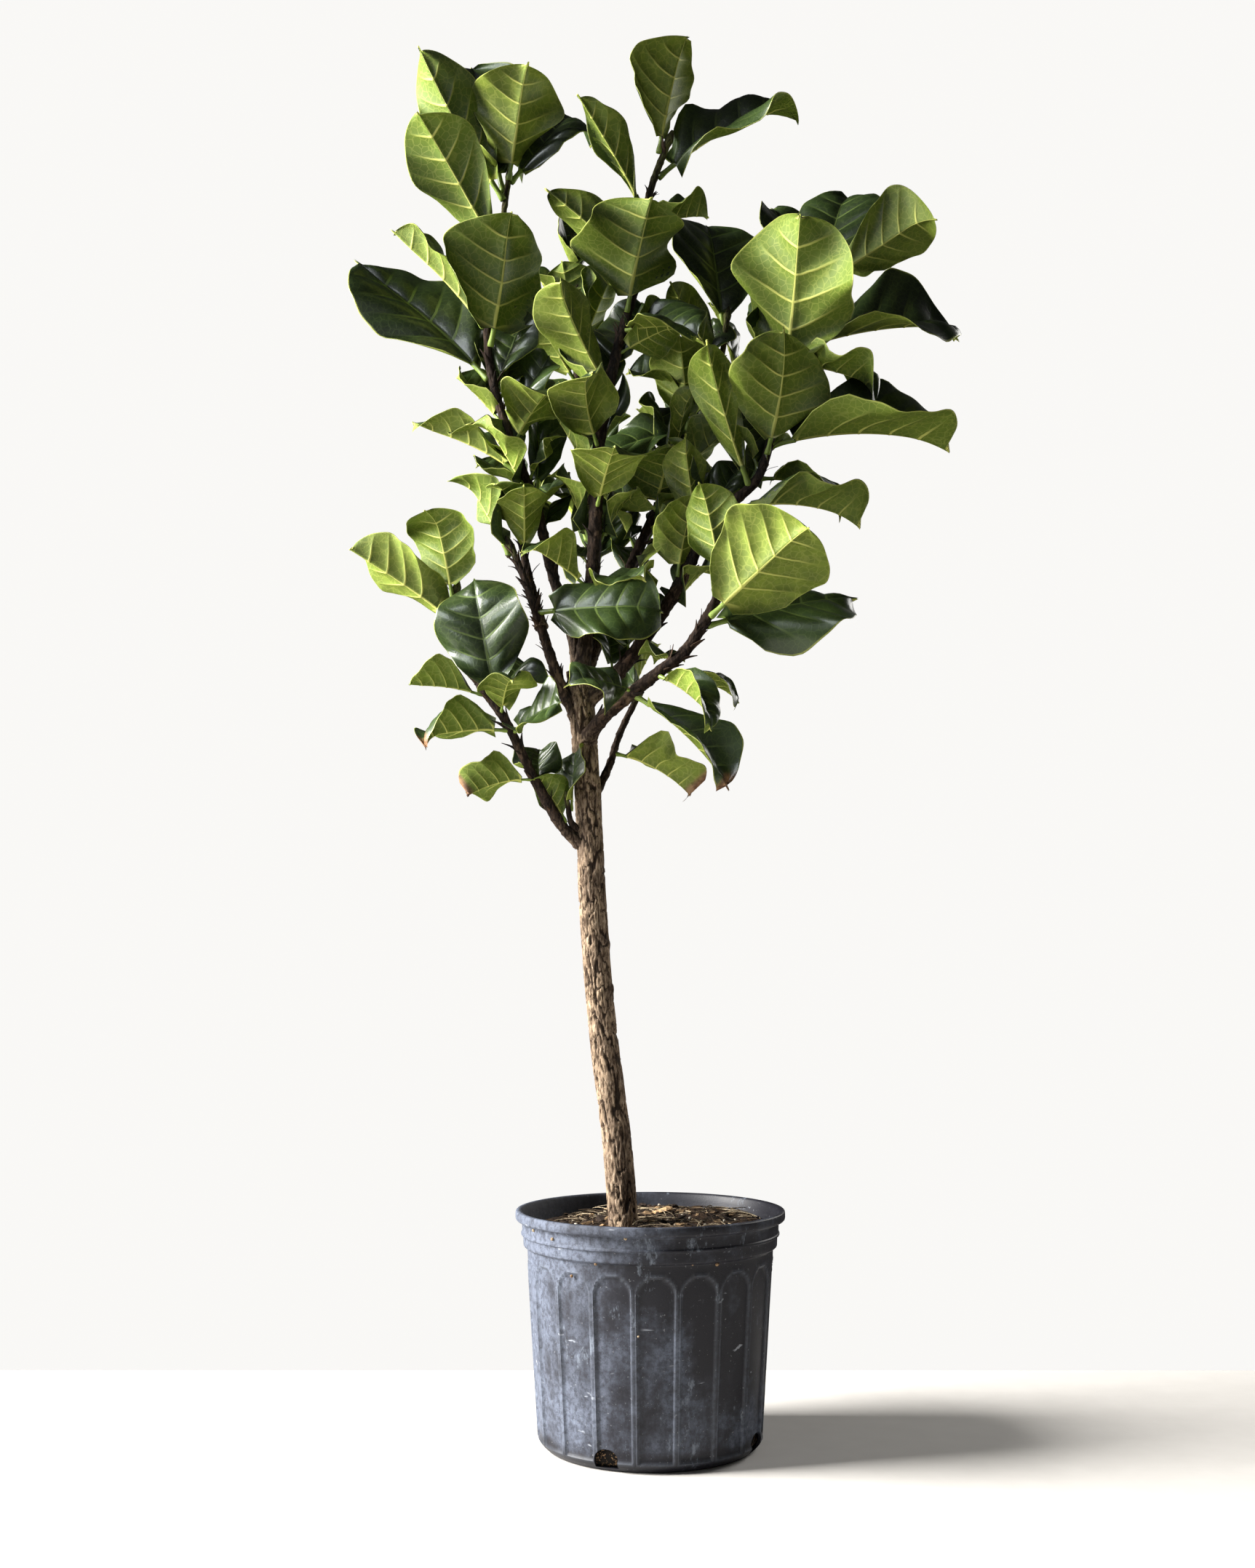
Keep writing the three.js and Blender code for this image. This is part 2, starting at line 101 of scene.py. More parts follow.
# Leaves, stem by stem. Each row is: place along the stem from 0 to 1, compass heading and rise of the
# leaf's chord, length and width of the leaf in millimetres, roll about the chord, bend from base to
# tip, and upward fold of each half. Angles are in degrees; heading 0 is +X and 90 is +Y.
LEAVES = {
    "left_low": [
        (0.90, -170, 35, 115, 72, 45, 10, 30),
        (0.98, -130, 70, 85, 88, 10, 15, 20),
        (0.57, -165, 78, 118, 92, -105, 10, 10),
        (0.52, -75, 25, 58, 56, 10, 40, 10),
        (0.55, 45, 50, 60, 72, 10, 35, 20),
        (0.61, -172, 5, 66, 58, 5, 25, 40),
        (0.46, -165, -10, 85, 72, 40, 35, 30),
        (0.28, -165, -15, 60, 56, 40, 40, 30),
    ],
    "right_low": [
        (0.44, -15, -30, 85, 70, -30, 40, 30),
    ],
    "right_limb": [
        (0.80, -38, 32, 128, 124, -42, 10, 25),
        (0.76, 18, 18, 150, 112, 62, 0, 10),
        (0.98, -145, 75, 85, 66, 40, 20, 25),
        (0.51, 25, -15, 80, 54, 10, 20, 25),
        (0.34, -5, -45, 120, 68, 35, 30, 35),
        (0.33, -140, 5, 65, 68, -55, 15, 15),
    ],
    "right_main": [
        (0.92, -85, 58, 150, 130, -27, 20, 10),
        (1.00, 13, 12, 175, 118, 38, 25, 28),
        (0.74, -62, 60, 112, 108, -10, 5, 10),
        (0.76, 5, 0, 180, 114, 30, 35, 40),
        (0.65, -130, 56, 145, 60, 35, 15, 45),
        (0.49, -130, 70, 90, 54, 40, 15, 40),
        (0.59, 5, -5, 125, 72, 5, 40, 35),
        (0.68, 20, -10, 95, 62, 0, 35, 35),
    ],
    "centre": [
        (0.98, -35, 75, 112, 108, 0, 5, 30),
        (0.94, 8, 35, 155, 112, 40, 20, 25),
        (0.87, -135, 45, 120, 66, 20, 15, 55),
        (0.84, 10, 15, 60, 56, 20, 25, 45),
        (0.67, -65, 65, 105, 132, 0, -5, 30),
        (0.76, -165, 40, 110, 62, 50, 15, 40),
        (0.52, -130, 45, 110, 74, 50, 20, 40),
        (0.41, -105, 40, 80, 72, 40, 25, 20),
        (0.36, 170, 60, 90, 50, 0, 10, 35),
        (0.31, -75, 30, 75, 78, 0, 20, 20),
    ],
    "left_fork": [
        (0.97, 165, 60, 95, 66, 20, 10, 25),
        (0.60, -15, 0, 118, 88, 72, 15, 12),
    ],
    "left_fork_side": [
        (0.90, -115, 50, 60, 60, 0, 15, 20),
        (0.75, -85, 50, 70, 54, 5, 15, 25),
    ],
    "left_main": [
        (0.96, -150, 50, 155, 72, 50, 10, 25),
        (0.98, 150, 72, 150, 100, -45, 10, 20),
        (1.00, -65, 60, 105, 100, 0, 10, 25),
        (1.00, 25, 50, 122, 92, 35, 10, 25),
        (0.86, -140, 50, 145, 80, 45, 30, 15),
        (0.66, -55, 70, 122, 132, 0, -5, 25),
        (0.60, 165, 46, 178, 122, -50, 10, 20),
        (0.70, -175, 45, 125, 62, 10, 20, 40),
        (0.42, -175, 25, 110, 64, 5, 20, 45),
        (0.37, 90, 80, 115, 62, 35, 10, 35),
    ],
    "middle_right": [
        (0.98, 110, 70, 145, 112, 0, 15, 20),
        (0.78, 55, 75, 95, 62, 0, 10, 20),
        (0.62, 25, 65, 85, 78, 0, 10, 20),
        (0.47, -70, 50, 70, 98, 0, 10, 10),
        (0.69, 180, -15, 105, 62, -60, 20, 20),
    ],
    "back_centre": [
        (0.83, -120, 75, 65, 66, -5, 10, 25),
        (0.94, 140, 80, 65, 68, 0, 10, 25),
    ],
    "back_right": [
        (0.93, 120, 65, 130, 84, 0, 10, 25),
        (0.97, 55, 65, 130, 104, 15, 10, 15),
        (1.00, -20, 24, 112, 90, -40, 20, 30),
    ],
}

# Small leaves inside the crown and at its back, in the same form.
SMALL_LEAVES = {
    "left_low": [
        (0.54, 125, 50, 30, 44, 0, 10, 20),
        (0.44, -50, 15, 71, 71, 55, 20, 15),
        (0.26, 95, 55, 39, 51, -10, 15, 20),
    ],
    "left_twig": [
        (0.55, -155, 55, 51, 39, 40, 20, 30),
        (0.86, 15, 85, 63, 46, 10, 10, 20),
    ],
    "right_low": [
        (0.92, 25, 65, 63, 56, 0, 15, 20),
    ],
    "right_limb": [
        (0.47, -50, -35, 88, 56, 0, 25, 45),
        (0.55, 110, 10, 46, 51, 10, 20, 20),
    ],
    "right_main": [
        (0.96, -10, -20, 90, 70, 10, 20, 25),
        (0.88, 120, 75, 95, 81, -10, 10, 20),
        (0.51, 25, 58, 80, 54, 30, 10, 40),
        (0.64, 45, 50, 80, 68, 0, 15, 25),
        (0.37, -45, 75, 76, 68, -10, 10, 20),
        (0.24, 150, 80, 67, 59, 15, 10, 20),
        (0.30, 30, 45, 71, 73, -10, 15, 20),
        (0.16, 105, 65, 43, 51, -15, 10, 20),
        (0.10, 110, 70, 51, 46, 10, 10, 20),
        (0.55, 145, 52, 80, 66, 0, 15, 25),
        (0.70, 130, 60, 90, 76, 0, 15, 25),
        (0.80, 70, 55, 92, 76, 10, 15, 25),
        (0.92, 50, 60, 90, 74, 0, 15, 25),
    ],
    "centre": [
        (0.63, -45, -15, 88, 95, 30, 20, 30),
        (0.59, -10, 25, 59, 70, -30, 15, 20),
        (0.25, 150, 65, 83, 76, 20, 15, 20),
        (0.25, 30, 55, 66, 63, -20, 15, 20),
        (0.21, 145, 35, 43, 44, 0, 20, 30),
        (0.17, -145, 25, 76, 66, 10, 15, 50),
        (0.16, -50, 0, 71, 71, 10, 35, 20),
        (0.40, 80, 60, 88, 74, 0, 15, 25),
        (0.48, 120, 60, 92, 76, 0, 15, 25),
        (0.56, 60, 60, 92, 76, 0, 15, 25),
        (0.72, 100, 60, 90, 74, 0, 15, 25),
    ],
    "left_fork_side": [
        (0.92, 50, 55, 95, 68, -10, 10, 20),
    ],
    "left_main": [
        (0.59, 35, 65, 83, 68, 20, 10, 20),
        (0.52, 155, 45, 71, 56, -10, 15, 25),
        (0.47, -55, 35, 71, 76, -10, 10, 30),
        (0.40, -40, 50, 49, 49, 40, 10, 15),
        (0.38, 155, 35, 66, 61, -25, 15, 20),
        (0.51, 20, 60, 78, 63, 30, 15, 20),
        (0.56, 65, 60, 54, 46, 10, 10, 15),
        (0.38, -140, 50, 82, 66, -45, 10, 20),
        (0.30, 85, 40, 72, 58, 0, 15, 25),
        (0.44, 165, 28, 78, 62, 0, 15, 25),
        (0.60, 95, 42, 82, 66, 0, 15, 25),
        (0.70, 60, 55, 88, 70, 15, 15, 25),
    ],
    "middle_right": [
        (0.57, -70, 55, 90, 41, 30, 10, 30),
        (0.50, 165, 10, 74, 56, -40, 15, 20),
        (0.37, 145, 60, 68, 62, 20, 10, 20),
        (0.40, 35, 55, 71, 76, -15, 10, 20),
        (0.88, -145, 50, 92, 59, 45, 15, 45),
        (0.30, 70, 35, 72, 60, 0, 15, 25),
        (0.55, -30, 35, 80, 62, -20, 15, 30),
        (0.62, 125, 60, 86, 70, 0, 15, 25),
        (0.70, -100, 75, 90, 80, 10, 15, 30),
        (0.78, 165, 28, 82, 58, -35, 15, 30),
    ],
    "back_centre": [
        (0.71, -135, 45, 95, 76, 45, 15, 25),
        (0.96, 20, 40, 64, 60, -10, 15, 25),
        (0.78, -10, 65, 90, 68, -30, 15, 25),
        (0.30, 70, 60, 90, 74, 0, 15, 25),
        (0.36, 150, 55, 86, 70, 10, 15, 25),
        (0.44, 20, 50, 92, 72, 30, 15, 30),
        (0.52, 60, 68, 78, 66, 0, 15, 20),
        (0.60, -165, 45, 84, 66, -30, 15, 30),
        (0.66, 30, 65, 84, 70, 10, 15, 25),
        (0.84, 175, 55, 74, 62, -20, 15, 25),
    ],
    "back_right": [
        (0.98, 30, 30, 88, 78, 0, 15, 25),
        (0.34, 165, 55, 78, 64, 0, 15, 25),
        (0.42, 25, 62, 82, 68, 10, 15, 25),
        (0.50, 165, 66, 80, 66, 0, 15, 25),
        (0.58, 60, 80, 82, 66, 0, 15, 20),
        (0.66, 0, 52, 84, 64, 25, 15, 25),
        (0.74, 170, 72, 80, 64, -10, 15, 20),
        (0.80, 25, 64, 88, 72, 10, 15, 25),
        (0.90, 110, 72, 100, 84, 0, 15, 20),
    ],
}

# Leaves whose tips have dried brown.
DRY_TIPS = {"leaf_left_low_7", "leaf_left_low_8", "leaf_right_low_1", "leaf_right_limb_5"}

# Leaves at the top, front and back of the crown that wave and curl less than the rest.
CALM_LEAVES = {
    "blade_centre_1": 0.35, "blade_middle_right_1": 0.35, "blade_right_limb_1": 0.45,
    "blade_back_right_1": 0.5, "blade_back_right_2": 0.5, "small_back_centre_9": 0.5,
    "small_back_right_4": 0.25, "small_back_right_6": 0.25, "small_back_right_7": 0.25,
    "small_back_right_8": 0.25,
}

# The petiole's share of a leaf's length, and its radius in millimetres.
PETIOLE_SHARE = 0.12
PETIOLE_RADIUS = 2.0

# Panels of the pot: radius of the arch, height of the arch's centre and of the panel's foot, and the
# mean radius of the wall there, in millimetres.
ARCH_RADIUS, ARCH_HEIGHT, PANEL_FOOT, WALL_RADIUS = 16.6, 154, 9, 110

# Drain holes: how many, and the bearing of the first in degrees.
DRAIN_HOLES = 4
FIRST_DRAIN = -113

# Points round the pot in one panel, and points round the soil.
PANEL_COLUMNS = 28
SOIL_COLUMNS = 224

# Spacing of a stem's rings in millimetres, and points in each ring.
TRUNK_MESH = (1.7, 108)
LIMB_MESH = (1.6, 32)

# Where the random draws of the litter, the dry scales and the leaves start.
LITTER_SEED, SCALE_SEED, LEAF_SEED = 7, 31, 12


def colour_setting(name, description, value):
    """A colour that the user can change."""
    return FloatVectorProperty(
        name=name, description=description, default=value, subtype="COLOR", min=0, max=1)


def length_setting(name, description, millimetres):
    """A length that the user can change."""
    return FloatProperty(
        name=name, description=description, default=millimetres * MM, unit="LENGTH", subtype="DISTANCE")


def count_setting(name, description, value, least=0):
    """A whole number that the user can change."""
    return IntProperty(name=name, description=description, default=value, min=least)


def light_setting(name, description, value, least=0):
    """A lamp's power, or another number for the stage, that the user can change."""
    return FloatProperty(name=name, description=description, default=value, min=least)


class PotSettings(PropertyGroup):
    """Sizes and finish of the nursery pot."""

    panels: count_setting("Panels", "Arched panels round the wall", 18, 3)
    panel_depth: length_setting("Panel depth", "How far a panel is pressed in", 1.7)
    wall: length_setting("Wall", "Thickness of the plastic", 2.4)
    plastic: colour_setting("Plastic", "Colour of the clean plastic", (0.013, 0.013, 0.018))
    chalk: colour_setting("Chalk", "Colour of the scuffed, chalky haze", (0.13, 0.15, 0.20))


class SoilSettings(PropertyGroup):
    """What lies in the pot."""

    chips: count_setting("Bark chips", "Chips of bark on the soil", 420)
    fibres: count_setting("Fibres", "Pale straw fibres on the soil", 240)
    beads: count_setting("Beads", "Perlite beads in the soil", 60)


class BarkSettings(PropertyGroup):
    """Bark of the trunk and limbs."""

    fissure: length_setting("Fissure depth", "Depth of the cracks in the trunk's bark", 2.0)
    old_bark: colour_setting("Old bark", "Colour of the trunk", (0.17, 0.122, 0.086))
    young_bark: colour_setting("Young bark", "Colour of the limbs", (0.05, 0.033, 0.023))
    stipules: count_setting("Stipules", "Dry dark scales left on each limb", 44)


class LeafSettings(PropertyGroup):
    """Shape and colour that all the leaves share."""

    veins: count_setting("Side veins", "Spaces between side veins", 5, 3)
    thickness: length_setting("Thickness", "Thickness of the blade", 0.8)
    quilting: length_setting("Quilting", "Rise of the blade between its side veins", 2.4)
    upper: colour_setting("Upper side", "Colour of the waxy upper side", (0.013, 0.025, 0.006))
    underside: colour_setting("Underside", "Colour of the matte underside", (0.115, 0.160, 0.016))
    vein: colour_setting("Veins", "Colour of the raised veins", (0.60, 0.62, 0.15))


class StageSettings(PropertyGroup):
    """Floor, light and camera."""

    window: light_setting("Window light", "Power of the soft side light", 440.0)
    fill: light_setting("Fill light", "Power of the weak fill light", 3.0)
    sheen: light_setting("Sheen light", "Power of the lamp that shows mainly in glossy leaves", 90.0)
    back: light_setting("Back light", "Power of the lamp behind, away from the window", 55.0)
    sky: light_setting("Sky", "Brightness of the pale surround", 0.03)
    lens: light_setting("Lens", "Focal length in millimetres", 40.07, 1)


# ---- shared shape tools ----


def lattice_noise(x, y, seed, wrap=64):
    """Value noise from -0.5 to 0.5: a random height on each whole-number point of the plane, eased
    between neighbours by 3f^2 - 2f^3. It repeats along x after wrap points."""
    heights = np.random.default_rng(seed).random((64, 64))
    left, low = np.floor(x).astype(int), np.floor(y).astype(int)
    f, g = x - left, y - low
    f, g = f * f * (3 - 2 * f), g * g * (3 - 2 * g)
    near, far = left % wrap, (left + 1) % wrap
    below = heights[low % 64, near] * (1 - f) + heights[low % 64, far] * f
    above = heights[(low + 1) % 64, near] * (1 - f) + heights[(low + 1) % 64, far] * f
    return below * (1 - g) + above * g - 0.5


def ease(value, low, high):
    """0 below low, 1 above high, and 3f^2 - 2f^3 between."""
    f = np.clip((value - low) / (high - low), 0, 1)
    return f * f * (3 - 2 * f)


def spread(x, y, z):
    """One array of points from three arrays of coordinates that stretch to the same shape."""
    return np.stack(np.broadcast_arrays(x, y, z), -1)


def around(radius, turn, height):
    """Points (r cos a, r sin a, z) at a radius, an angle about Z and a height."""
    return spread(radius * np.cos(turn), radius * np.sin(turn), height)


def full_turn(count):
    """Angles of even steps round a circle, from 0."""
    return np.linspace(0, 2 * math.pi, count, endpoint=False)


def unit(vectors):
    """Each vector divided by its own length."""
    return vectors / np.linalg.norm(vectors, axis=-1, keepdims=True)


def tube_faces(rings, sides, copies=1):
    """Faces of closed tubes whose points are ring after ring, then the foot's centre and the tip's
    centre. Rings turn anticlockwise about the way from foot to tip, so the faces point out."""
    ring, side = np.meshgrid(np.arange(rings - 1), np.arange(sides), indexing="ij")
    here, after = ring * sides + side, ring * sides + (side + 1) % sides
    quads = np.stack([here, after, after + sides, here + sides], -1).reshape(-1, 4)
    edge = np.arange(sides)
    following = (edge + 1) % sides
    foot, tip, last = rings * sides, rings * sides + 1, (rings - 1) * sides
    ends = np.concatenate([
        np.stack([np.full(sides, foot), following, edge], -1),
        np.stack([np.full(sides, tip), last + edge, last + following], -1),
    ])
    step = np.arange(copies)[:, None, None] * (rings * sides + 2)
    return (quads + step).reshape(-1, 4), (ends + step).reshape(-1, 3)


def tube_points(rings):
    """Ring points of one or many tubes with the two end centres put after them, as one list."""
    ends = np.stack([rings[..., 0, :, :].mean(-2), rings[..., -1, :, :].mean(-2)], -2)
    flat = rings.reshape(*rings.shape[:-3], -1, 3)
    return np.concatenate([flat, ends], -2).reshape(-1, 3)


def make_piece(name, points, quads, triangles, material, replaced, slot, smooth=True):
    """A mesh object from points in millimetres. It rides on the root and stands for its CAD nodes."""
    mesh = bpy.data.meshes.new(name)
    mesh.vertices.add(len(points))
    mesh.vertices.foreach_set("co", (np.asarray(points) * MM).astype(np.float32).ravel())
    corners = np.concatenate([quads.ravel(), triangles.ravel()]).astype(np.int32)
    sizes = np.concatenate([np.full(len(quads), 4), np.full(len(triangles), 3)])
    mesh.loops.add(len(corners))
    mesh.loops.foreach_set("vertex_index", corners)
    mesh.polygons.add(len(sizes))
    mesh.polygons.foreach_set("loop_start", np.concatenate([[0], np.cumsum(sizes)[:-1]]).astype(np.int32))
    mesh.update(calc_edges=True)
    mesh.polygons.foreach_set("use_smooth", np.full(len(sizes), smooth))
    mesh.materials.append(material)
    if mesh.validate():
        raise RuntimeError(f"{name} has faces that don't hold together")
    piece = bpy.data.objects.new(name, mesh)
    bpy.context.scene.collection.objects.link(piece)
    settle(piece, replaced)
    return piece


def settle(piece, replaced):
    """Puts a finished piece on the root body, in place of its CAD nodes."""
    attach(piece, "root")
    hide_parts(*replaced)


def paint_attribute(piece, name, values):
    """One number for each point, which the materials read by name."""
    layer = piece.data.attributes.new(name, "FLOAT", "POINT")
    layer.data.foreach_set("value", np.ascontiguousarray(values, dtype=np.float32).ravel())


def paint_map(piece, name, along, across):
    """A UV map that gives each face corner its point's two surface coordinates."""
    mesh = piece.data
    corner = np.empty(len(mesh.loops), np.int32)
    mesh.loops.foreach_get("vertex_index", corner)
    layer = mesh.uv_layers.new(name=name)
    layer.data.foreach_set("uv", np.stack([along, across], -1)[corner].astype(np.float32).ravel())


# ---- material tools ----


class Recipe:
    """Adds nodes to one material and wires them, so that a finish reads as a list of steps."""

    def __init__(self, name):
        self.material = bpy.data.materials.new(name)
        self.material.use_nodes = True
        self.nodes = self.material.node_tree.nodes
        self.shader = self.nodes["Principled BSDF"]

    def feed(self, socket, value):
        if isinstance(value, bpy.types.NodeSocket):
            self.material.node_tree.links.new(value, socket)
        else:
            socket.default_value = value

    def add(self, kind, inputs, **settings):
        node = self.nodes.new(kind)
        for key, value in settings.items():
            setattr(node, key, value)
        for key, value in inputs.items():
            self.feed(node.inputs[key], value)
        return node

    def place(self):
        return self.add("ShaderNodeTexCoord", {}).outputs["Object"]

    def attribute(self, name):
        return self.add("ShaderNodeAttribute", {}, attribute_name=name).outputs["Fac"]

    def stretch(self, vector, scale, turn=(0.0, 0.0, 0.0)):
        return self.add("ShaderNodeMapping", {"Vector": vector, "Scale": scale, "Rotation": turn}).outputs[0]

    def noise(self, vector, scale, detail=3.0, roughness=0.55):
        inputs = {"Vector": vector, "Scale": scale, "Detail": detail, "Roughness": roughness}
        return self.add("ShaderNodeTexNoise", inputs).outputs["Fac"]

    def cells(self, vector, scale, feature):
        inputs = {"Vector": vector, "Scale": scale}
        return self.add("ShaderNodeTexVoronoi", inputs, feature=feature).outputs["Distance"]

    def math(self, operation, first, second=0.0):
        return self.add("ShaderNodeMath", {0: first, 1: second}, operation=operation).outputs[0]

    def times(self, first, second):
        return self.math("MULTIPLY", first, second)

    def plus(self, first, second):
        return self.math("ADD", first, second)

    def ramp(self, value, low, high, bottom=0.0, top=1.0):
        """bottom below low, top above high, and eased between."""
        inputs = {"Value": value, "From Min": low, "From Max": high, "To Min": bottom, "To Max": top}
        return self.add("ShaderNodeMapRange", inputs, interpolation_type="SMOOTHSTEP").outputs[0]

    def blend(self, share, first, second):
        colours = [(*c, 1.0) if isinstance(c, tuple) and len(c) == 3 else c for c in (first, second)]
        inputs = {0: share, 6: colours[0], 7: colours[1]}
        return self.add("ShaderNodeMix", inputs, data_type="RGBA", blend_type="MIX").outputs[2]

    def bump(self, height, distance, strength=1.0):
        inputs = {"Height": height, "Distance": distance, "Strength": strength}
        return self.add("ShaderNodeBump", inputs).outputs[0]

    def finish(self, **sockets):
        for key, value in sockets.items():
            value = (*value, 1.0) if key == "Base_Color" and isinstance(value, tuple) else value
            self.feed(self.shader.inputs[key.replace("_", " ")], value)
        return self.material


def pot_finish(settings):
    """Charcoal plastic under a chalky haze, with pale scuffs. The haze is laid on heavier towards the left,
    the side the window lights, which is painted light; it also changes with height.
    """
    r = Recipe("hazy_plastic")
    place = r.place()
    cloud = r.noise(place, 15.0, 9.0, 0.67)
    streaks = r.noise(r.stretch(place, (26.0, 26.0, 7.0)), 1.0, 5.0, 0.65)
    split = r.add("ShaderNodeSeparateXYZ", {0: place})
    # More chalk towards the left, where the window light falls: painted light on that side. The height ramps
    # add haze low down and at the rim, and take it off at the foot.
    lean = r.plus(r.ramp(split.outputs[0], -0.125, 0.05, 0.26, -0.04),
                  r.ramp(split.outputs[2], 0.10, 0.0, 0.0, 0.10))
    lean = r.plus(lean, r.ramp(split.outputs[2], 0.178, 0.185, 0.0, 0.10))
    lean = r.math("SUBTRACT", lean, r.ramp(split.outputs[2], 0.022, 0.004, 0.0, 0.3))
    haze = r.ramp(r.plus(r.plus(cloud, r.times(streaks, 0.5)), lean), 0.72, 1.10)
    fine = r.noise(place, 190.0, 4.0, 0.75)
    powder = r.times(haze, r.ramp(fine, 0.34, 0.62, 0.35, 1.0))
    powder = r.times(powder, r.ramp(r.attribute("outside"), 0.0, 1.0, 0.25, 1.0))
    colour = r.blend(powder, tuple(settings.plastic), tuple(settings.chalk))
    blots = r.ramp(r.noise(r.stretch(place, (55.0, 55.0, 24.0)), 1.0, 5.0, 0.75), 0.60, 0.72)
    colour = r.blend(r.times(blots, 0.55), colour, (0.24, 0.28, 0.34))
    scuffs = r.noise(r.stretch(place, (16.0, 60.0, 90.0), (0.3, 0.8, 0.2)), 1.0, 3.0, 0.6)
    colour = r.blend(r.ramp(scuffs, 0.68, 0.74, 0.0, 0.6), colour, (0.40, 0.43, 0.48))
    specks = r.ramp(r.noise(place, 420.0, 2.0), 0.68, 0.74)
    colour = r.blend(r.times(specks, 0.4), colour, (0.30, 0.31, 0.33))
    # The raised beads round the panels are painted paler: a painted highlight along the ridges.
    bead_highlight = r.times(r.attribute("raised"), r.ramp(fine, 0.3, 0.6, 0.4, 1.0))
    colour = r.blend(r.times(bead_highlight, 0.22), colour, (0.20, 0.23, 0.28))
    grain = r.noise(place, 800.0, 2.0)
    return r.finish(Base_Color=colour, Roughness=r.ramp(haze, 0.0, 1.0, 0.46, 0.72), Specular_IOR_Level=0.25,
                    Normal=r.bump(grain, 0.00025, 0.5))


def soil_finish():
    """Dark crumbs that are browner on the crests of the same noise that makes their bumps, with browner
    patches.
    """
    r = Recipe("potting_soil")
    place = r.place()
    crumbs = r.noise(place, 160.0, 5.0, 0.65)
    patches = r.noise(place, 28.0, 3.0)
    # The colour follows the crumb bumps: darker in their hollows, browner on their crests.
    colour = r.blend(r.ramp(crumbs, 0.35, 0.68), (0.006, 0.004, 0.003), (0.055, 0.032, 0.019))
    colour = r.blend(r.ramp(patches, 0.5, 0.75, 0.0, 0.6), colour, (0.09, 0.058, 0.034))
    low = r.ramp(r.add("ShaderNodeSeparateXYZ", {0: place}).outputs[2], 0.03, 0.05, 1.0, 0.0)
    roots = r.ramp(r.noise(place, 420.0, 3.0, 0.6), 0.56, 0.62, 0.0, 0.8)
    colour = r.blend(low, colour, r.blend(roots, (0.004, 0.003, 0.002), (0.16, 0.10, 0.055)))
    return r.finish(Base_Color=colour, Roughness=0.95, Specular_IOR_Level=0.1,
                    Normal=r.bump(crumbs, 0.002, 0.9))


def litter_finish(name, dark, pale, grain):
    """Chips, fibres and beads: each takes its own shade from the attribute called shade."""
    r = Recipe(name)
    place = r.place()
    shade = r.attribute("shade")
    texture = r.noise(r.stretch(place, (1.0, 1.0, 2.5)), grain, 4.0, 0.6)
    colour = r.blend(shade, dark, pale)
    colour = r.blend(r.ramp(texture, 0.3, 0.7, 0.75, 0.0), colour, (0.018, 0.012, 0.008))
    return r.finish(Base_Color=colour, Roughness=0.85, Specular_IOR_Level=0.15,
                    Normal=r.bump(texture, 0.0008, 0.7))


def bark_finish(settings):
    """Grey-brown cork split by dark fissures, darker and greener where the limb is young. Its cracks and the
    gaps between flakes are painted dark, partly painted shade, and the flake crests pale, partly a painted
    highlight.
    """
    r = Recipe("fig_bark")
    place = r.place()
    age = r.attribute("youth")
    depth = r.attribute("relief")
    flakes = r.noise(r.stretch(place, (420.0, 420.0, 110.0)), 1.0, 4.0, 0.65)
    blotch = r.noise(r.stretch(place, (1.0, 1.0, 0.5)), 60.0, 4.0, 0.65)
    old = r.blend(r.ramp(blotch, 0.35, 0.68), tuple(settings.old_bark), (0.42, 0.31, 0.21))
    # Where the flake noise, which also makes the bump, is low the bark is painted near black, and where it is
    # high it is painted pale: partly the bark's own colour, partly painted shade in the gaps and a painted
    # highlight on the crests. The young bark below is darkened in its gaps the same way.
    old = r.blend(r.ramp(flakes, 0.38, 0.56, 0.92, 0.0), old, (0.045, 0.027, 0.016))
    old = r.blend(r.ramp(flakes, 0.60, 0.70, 0.0, 0.8), old, (0.62, 0.52, 0.40))
    young = r.blend(r.ramp(flakes, 0.40, 0.62), (0.014, 0.009, 0.007), tuple(settings.young_bark))
    young = r.blend(r.ramp(blotch, 0.56, 0.70, 0.0, 0.8), young, (0.15, 0.10, 0.065))
    green = r.blend(r.ramp(flakes, 0.4, 0.6), (0.05, 0.045, 0.018), (0.12, 0.13, 0.04))
    colour = r.blend(r.ramp(age, 0.02, 0.28), old, young)
    colour = r.blend(r.ramp(age, 0.88, 1.0), colour, green)
    # Near black in the cracks of the relief: the fissures' own dark bark, with painted shade in them.
    colour = r.blend(r.ramp(depth, 0.7, 0.2, 0.0, 0.92), colour, (0.020, 0.012, 0.008))
    return r.finish(Base_Color=colour, Roughness=0.88, Specular_IOR_Level=0.12,
                    Normal=r.bump(flakes, 0.0012, 0.8))


